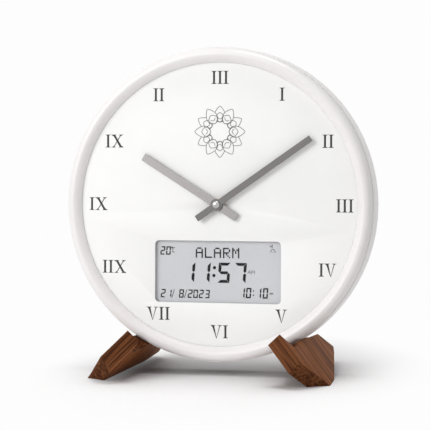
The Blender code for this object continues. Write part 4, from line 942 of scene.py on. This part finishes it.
def add_stroke(shape, bottom, top, width, layer, bottom_width=None):
    """A straight stroke between two (x, z) points, cut level at its ends."""
    half = width / 2
    low_half = (bottom_width or width) / 2
    outline = [
        (bottom[0] - low_half, bottom[1]), (bottom[0] + low_half, bottom[1]),
        (top[0] + half, top[1]), (top[0] - half, top[1]),
    ]
    add_ink(shape, outline, layer)


def add_foot(shape, end, width, direction, layer, half=FOOT_HALF):
    """The foot at a stroke's (x, z) end: a thin bar that slopes into the stroke."""
    x, z = end
    edge = FOOT_EDGE * direction
    top = z + FOOT_SLOPE * direction + edge
    reach = width / 2
    flare = reach * FOOT_FLARE[0]
    knee = z + FOOT_FLARE[1] * edge
    outline = [
        (x - half, z), (x + half, z), (x + half, z + edge), (x + flare, knee),
        (x + reach, top), (x - reach, top), (x - flare, knee), (x - half, z + edge),
    ]
    add_ink(shape, outline, layer)


# %% The letters I, V and X
def letter_i(shape, x, z):
    """An upright stem with two feet."""
    bottom = (x, z)
    top = (x, z + CAP_HEIGHT)
    add_stroke(shape, bottom, top, STEM, 0)
    add_foot(shape, bottom, STEM, 1, 1)
    add_foot(shape, top, STEM, -1, 1)


def letter_v(shape, x, z):
    """A thick and a thin diagonal that meet in a point."""
    point = (x + V_POINT_PLACE[0], z + V_POINT_PLACE[1])
    left, right = ((x + reach, z + CAP_HEIGHT) for reach in V_TOPS)
    add_stroke(shape, point, left, THICK, 0, V_POINT)
    add_stroke(shape, (point[0] + V_POINT_PLACE[0], point[1]), right, THIN, 1, V_POINT)
    add_foot(shape, left, THICK, -1, 2, THICK_FOOT_HALF)
    add_foot(shape, right, THIN, -1, 3, V_THIN_FOOT_HALF)


def letter_x(shape, x, z):
    """A thick and a thin diagonal that cross."""
    top_left, top_right = ((x + reach, z + CAP_HEIGHT) for reach in X_TOPS)
    bottom_left, bottom_right = ((x + reach, z) for reach in X_BOTTOMS)
    add_stroke(shape, bottom_right, top_left, THICK, 0)
    add_stroke(shape, bottom_left, top_right, THIN, 1)
    add_foot(shape, top_left, THICK, -1, 2, THICK_FOOT_HALF)
    add_foot(shape, bottom_right, THICK, 1, 2, THICK_FOOT_HALF)
    add_foot(shape, top_right, THIN, -1, 3, X_THIN_FOOT_HALF)
    add_foot(shape, bottom_left, THIN, 1, 3, X_THIN_FOOT_HALF)


LETTERS = {"I": (letter_i, 5.0 * MM), "V": (letter_v, 11.1 * MM), "X": (letter_x, 12.1 * MM)}


# %% Print the twelve numerals on their ring
NUMERAL_RING = 120.7 * MM
PRINT_SHIFT = 2.0 * MM
NUMERALS = ("III", "I", "II", "III", "IV", "V", "VI", "VII", "IIX", "IX", "IX", "II")


def add_numeral(shape, text, x, z):
    """Sets letters side by side, with their middle at a point."""
    widths = [LETTERS[letter][1] for letter in text]
    length = sum(widths) + LETTER_GAP * (len(text) - 1)
    left = x - length / 2
    for letter, width in zip(text, widths):
        LETTERS[letter][0](shape, left + width / 2, z - CAP_HEIGHT / 2)
        left += width + LETTER_GAP


numeral_shape = bmesh.new()
for hour, text in enumerate(NUMERALS):
    turn = math.radians(30 * hour)
    x = PRINT_SHIFT + NUMERAL_RING * math.sin(turn)
    add_numeral(numeral_shape, text, x, NUMERAL_RING * math.cos(turn))
bmesh.ops.recalc_face_normals(numeral_shape, faces=numeral_shape.faces)
numerals = finish_piece("printed_numerals", numeral_shape, "case", "black_plastic", numeral_ink)
print("numerals of", len(numerals.data.polygons), "faces")

# %% [markdown]
# ## Ornament
#
# Above the hub the dial carries a traditional flower of interlaced pointed petals, drawn
# in one thin line. Every petal is the same formula turned about the flower's centre: a
# half width that swells and ends in a point. Those behind are drawn only where no petal
# lies in front of them. Each petal holds a smaller heart, and a short open mark inside it.
# A line is a round curve, half sunk in the dial, made into a mesh.

# %% Ornament sizes: for each petal its root, its tip, half its width and its fullness
FLOWER_CENTRE = (PRINT_SHIFT, 69.3 * MM)
PETAL_PAIRS = 6
LINE_WIDTH = 0.58 * MM
PETAL_STEPS = 40
PETAL_ROUNDNESS = 0.75
FRONT_PETAL = (9 * MM, 24.6 * MM, 5.35 * MM, 0.75)
BEHIND_PETAL = (9 * MM, 24.4 * MM, 5.35 * MM, 0.75)
FRONT_HEART = (8.9 * MM, 17.8 * MM, 4.3 * MM, 1.0)
BEHIND_HEART = (9.2 * MM, 18.2 * MM, 4.0 * MM, 1.0)
INNER_MARK = ((-2.5, 13.9), (-1.6, 12.7), (0, 12.0), (1.6, 12.7), (2.5, 13.9))


# %% Drawing a line on the dial
def printed_lines(name, runs, width, depth, material):
    """Draws round lines through runs of (x, z) points, as one meshed piece."""
    curve = bpy.data.curves.new(name, "CURVE")
    curve.dimensions = "3D"
    curve.bevel_depth = width / 2
    curve.bevel_resolution = 1
    curve.use_fill_caps = True
    for points in runs:
        closed = points[0] == points[-1]
        points = points[:-1] if closed else points
        line = curve.splines.new("POLY")
        line.points.add(len(points) - 1)
        for corner, (x, z) in zip(line.points, points):
            corner.co = (x, depth, z, 1)
        line.use_cyclic_u = closed
    drawing = bpy.data.objects.new(name, curve)
    shape = bmesh.new()
    shape.from_mesh(drawing.to_mesh())
    drawing.to_mesh_clear()
    bpy.data.objects.remove(drawing)
    finish_piece(name, shape, "case", "black_plastic", material)


# %% Petals
def half_width(share, widest, fullness):
    """Half the width of a petal, at a share of the way from its root to its tip."""
    return widest * math.sin(math.pi * min(max(share, 0), 1) ** fullness) ** PETAL_ROUNDNESS


def on_flower(turn, across, out):
    """A point on the dial, beside and along the middle line of a petal at that angle."""
    cosine = math.cos(turn)
    sine = math.sin(turn)
    x = FLOWER_CENTRE[0] + across * cosine + out * sine
    return x, FLOWER_CENTRE[1] - across * sine + out * cosine


def petal(turn, root, tip, widest, fullness):
    """The closed outline of a petal that points at an angle, clockwise from the top."""
    shares = [step / PETAL_STEPS for step in range(PETAL_STEPS + 1)]
    side = [(half_width(share, widest, fullness), root + (tip - root) * share) for share in shares]
    outline = side + [(-across, out) for across, out in reversed(side)][1:]
    return [on_flower(turn, across, out) for across, out in outline]


def inside(point, turn, root, tip, widest, fullness):
    """Whether a point lies under such a petal."""
    x = point[0] - FLOWER_CENTRE[0]
    z = point[1] - FLOWER_CENTRE[1]
    out = x * math.sin(turn) + z * math.cos(turn)
    across = x * math.cos(turn) - z * math.sin(turn)
    share = (out - root) / (tip - root)
    return root < out < tip and abs(across) < half_width(share, widest, fullness)


def uncovered(outline, covers):
    """The runs of an outline that no petal in front covers."""
    runs = []
    run = []
    for point in outline:
        if any(inside(point, *cover) for cover in covers):
            if len(run) > 1:
                runs.append(run)
            run = []
        else:
            run.append(point)
    if len(run) > 1:
        runs.append(run)
    return runs


# %% Draw the flower
half_step = math.pi / PETAL_PAIRS
front_turns = [half_step * (2 * pair + 1) for pair in range(PETAL_PAIRS)]
behind_turns = [half_step * 2 * pair for pair in range(PETAL_PAIRS)]
runs = []
for front_sizes, behind_sizes in ((FRONT_PETAL, BEHIND_PETAL), (FRONT_HEART, BEHIND_HEART)):
    front = [(turn, *front_sizes) for turn in front_turns]
    for cover in front:
        runs.append(petal(*cover))
    for turn in behind_turns:
        runs += uncovered(petal(turn, *behind_sizes), front)
for turn in front_turns + behind_turns:
    runs.append([on_flower(turn, across * MM, out * MM) for across, out in INNER_MARK])
printed_lines("printed_flower", runs, LINE_WIDTH, DIAL_FRONT, ornament_ink)
print("flower of", len(runs), "lines")

# %% [markdown]
# ## Display
#
# The display is a reflective liquid crystal panel: dark segments that stand on a pale grey
# ground, behind a clear window. The segments could be a picture, but small sheets just
# above the glass stay sharp at any size. Figures are the usual seven segments, leaning a
# little, the word is a five by seven dot matrix, and the small signs are drawn in lines.

# %% Display sizes
SEGMENT_BACK = PANEL_FRONT - 0.03 * MM
SEGMENT_FRONT = PANEL_FRONT - 0.13 * MM
SEGMENT_GAP = 0.07
LEAN = math.tan(math.radians(4.5))
SEGMENTS = {
    "0": "abcdef", "1": "bc", "2": "abged", "3": "abgcd", "5": "afgcd", "7": "abc",
    "8": "abcdefg", "C": "afed",
}


# %% Seven segments
def segment_outlines(width, height, bar):
    """The seven outlines of a figure whose lower left corner is at (0, 0)."""
    gap = SEGMENT_GAP * bar
    middle = height / 2
    inner = bar + gap
    far = width - inner
    top = [(gap, height), (width - gap, height), (far, height - bar), (inner, height - bar)]
    right = [
        (width, height - gap), (width - bar, height - inner), (width - bar, middle + bar / 2 + gap),
        (width - bar / 2, middle + gap), (width, middle + bar / 2),
    ]
    bridge = [
        (inner - bar / 2, middle), (inner, middle + bar / 2), (far, middle + bar / 2),
        (far + bar / 2, middle), (far, middle - bar / 2), (inner, middle - bar / 2),
    ]
    lower_right = [(x, height - z) for x, z in right]
    return {
        "a": top,
        "b": right,
        "c": lower_right,
        "d": [(x, height - z) for x, z in top],
        "e": [(width - x, z) for x, z in lower_right],
        "f": [(width - x, z) for x, z in right],
        "g": bridge,
    }


# %% Rows on the display, measured in millimetres from its middle
display_middle_x = (window_low.x + window_high.x) / 2
display_middle_z = (window_low.z + window_high.z) / 2


def on_display(x, z):
    """A point given from the middle of the display, in millimetres."""
    return (display_middle_x + x * MM, display_middle_z + z * MM)


def add_row(shape, row, bottom, width, height, bar):
    """Adds leaning figures on one line, each given with its left edge."""
    outlines = segment_outlines(width, height, bar)
    for figure, left in row:
        x, z = on_display(left, bottom)
        for name in SEGMENTS[figure]:
            outline = [(x + across + up * LEAN, z + up) for across, up in outlines[name]]
            add_sheet(shape, outline, SEGMENT_FRONT, SEGMENT_BACK)


def add_colon(shape, dots, radius, steps=16):
    """Adds round dots, each given with its middle."""
    turns = [2 * math.pi * step / steps for step in range(steps)]
    for dot in dots:
        x, z = on_display(*dot)
        outline = [(x + radius * math.cos(turn), z + radius * math.sin(turn)) for turn in turns]
        add_sheet(shape, outline, SEGMENT_FRONT, SEGMENT_BACK)


def show(name, shape):
    """Makes a piece of the display from its sheets."""
    bmesh.ops.recalc_face_normals(shape, faces=shape.faces)
    finish_piece(name, shape, "case", "black_plastic", segment_black)
    print(name, "shown")


# %% The large time: figures of this width and height, with bars of this width
LARGE = (11.6 * MM, 19.2 * MM, 2.75 * MM)
LARGE_COLON_RADIUS = 1.6 * MM
large_shape = bmesh.new()
add_row(large_shape, (("1", -35.7), ("1", -20.6), ("5", -1.0), ("7", 14.8)), -10.4, *LARGE)
colon = [(-4.2 + 0.08 * up, up) for up in (-3.6, 3.9)]
add_colon(large_shape, colon, LARGE_COLON_RADIUS)
show("display_time", large_shape)

# %% The small figures: temperature, date and second time
SMALL = (4.5 * MM, 8.0 * MM, 1.15 * MM)
DEGREE_LETTER = (2.6 * MM, 4.6 * MM, 0.5 * MM)
SECOND_TIME = (4.9 * MM, 9.9 * MM, 1.35 * MM)
SMALL_COLON_RADIUS = 0.65 * MM
DATE = (
    ("2", -57.2), ("1", -51.2), ("8", -39.0), ("2", -30.4), ("0", -25.0), ("2", -19.4),
    ("3", -13.4),
)
DATE_BOTTOM = -25.4
small_shape = bmesh.new()
add_row(small_shape, (("2", -57.6), ("0", -52.0)), 15.6, *SMALL)
add_row(small_shape, (("C", -45.6),), 18.0, *DEGREE_LETTER)
add_row(small_shape, DATE, DATE_BOTTOM, *SMALL)
add_row(small_shape, (("1", 20.6), ("0", 26.8), ("1", 36.6), ("0", 43.2)), -24.6, *SECOND_TIME)
add_colon(small_shape, ((34.4, -21.6), (34.4, -17.6)), SMALL_COLON_RADIUS)
show("display_figures", small_shape)

# %% The word, in a dot matrix
DOT_PATTERNS = {
    "A": (".###.", "#...#", "#...#", "#####", "#...#", "#...#", "#...#"),
    "L": ("#....", "#....", "#....", "#....", "#....", "#....", "#####"),
    "R": ("####.", "#...#", "#...#", "####.", "#.#..", "#..#.", "#...#"),
    "M": ("#...#", "##.##", "#.#.#", "#.#.#", "#...#", "#...#", "#...#"),
}
DOT_PITCH = 1.42 * MM
DOT_SIZE = 1.34 * MM
WORD = "ALARM"
WORD_LEFT = -22.4
WORD_TOP = 23.0
LETTER_PITCH = 6.3 * DOT_PITCH / MM


def add_dots(shape, letter, left, top):
    """Adds the square dots of a letter."""
    for row, pattern in enumerate(DOT_PATTERNS[letter]):
        for column, mark in enumerate(pattern):
            if mark == "#":
                x = left + column * DOT_PITCH
                z = top - row * DOT_PITCH
                right = x + DOT_SIZE
                bottom = z - DOT_SIZE
                outline = [(x, z), (right, z), (right, bottom), (x, bottom)]
                add_sheet(shape, outline, SEGMENT_FRONT, SEGMENT_BACK)


word_shape = bmesh.new()
for index, letter in enumerate(WORD):
    left, top = on_display(WORD_LEFT + index * LETTER_PITCH, WORD_TOP)
    add_dots(word_shape, letter, left, top)
show("display_word", word_shape)


# %% The small signs, drawn in lines
def sign(points, left, bottom, width, height):
    """Points given as shares of a box, placed on the display."""
    return [on_display(left + x * width, bottom + z * height) for x, z in points]


LETTER_A = [[(0, 0), (0.5, 1), (1, 0)], [(0.2, 0.4), (0.8, 0.4)]]
LETTER_M = [[(0, 0), (0, 1), (0.5, 0.35), (1, 1), (1, 0)]]
LOUDSPEAKER = [[(0, 0.45), (0.2, 0.45), (0.5, 0.1), (0.5, 0.9), (0.2, 0.55), (0, 0.55), (0, 0.45)]]
BELL = [[(0, 0), (0.12, 0.25), (0.2, 0.75), (0.5, 1), (0.8, 0.75), (0.88, 0.25), (1, 0), (0, 0)]]
SIGNS = (
    (LETTER_A, 28.6, -1.4, 2.9, 3.4),
    (LETTER_M, 32.4, -1.4, 2.9, 3.4),
    (LETTER_A, 50.0, -20.6, 1.3, 1.7),
    (LETTER_M, 51.9, -20.6, 1.5, 1.7),
    (BELL, 50.4, 19.6, 5.4, 2.8),
    (LOUDSPEAKER, 50.4, 23.2, 4.6, 3.6),
)
SIGN_WIDTH = 0.4 * MM
signs = [sign(part, *box) for drawing, *box in SIGNS for part in drawing]
printed_lines("display_signs", signs, SIGN_WIDTH, SEGMENT_FRONT, segment_grey)
print("signs of", len(signs), "lines shown")

# %% The strokes between the figures of the date, and the ring of the degree sign
RING_STEPS = 12
STROKE_WIDTH = 0.5 * MM
SLASH = ((0, 0), (1, 1))
strokes = [sign(SLASH, left, DATE_BOTTOM, 2.6, 8.0) for left in (-46.0, -33.6)]
turns = [2 * math.pi * step / RING_STEPS for step in range(RING_STEPS)]
ring = [(0.5 + 0.5 * math.cos(turn), 0.5 + 0.5 * math.sin(turn)) for turn in turns]
strokes.append(sign(ring + ring[:1], -46.4, 22.0, 1.2, 1.2))
printed_lines("display_strokes", strokes, STROKE_WIDTH, SEGMENT_FRONT, segment_black)
print("strokes and ring shown")

# %% Compare the sizes and finish
shown_low, shown_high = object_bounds()
growth = [(b - a) - (d - c) for a, b, c, d in zip(shown_low, shown_high, solid_low, solid_high)]
print("the dressed clock is larger by", [round(value / MM, 2) for value in growth], "mm")
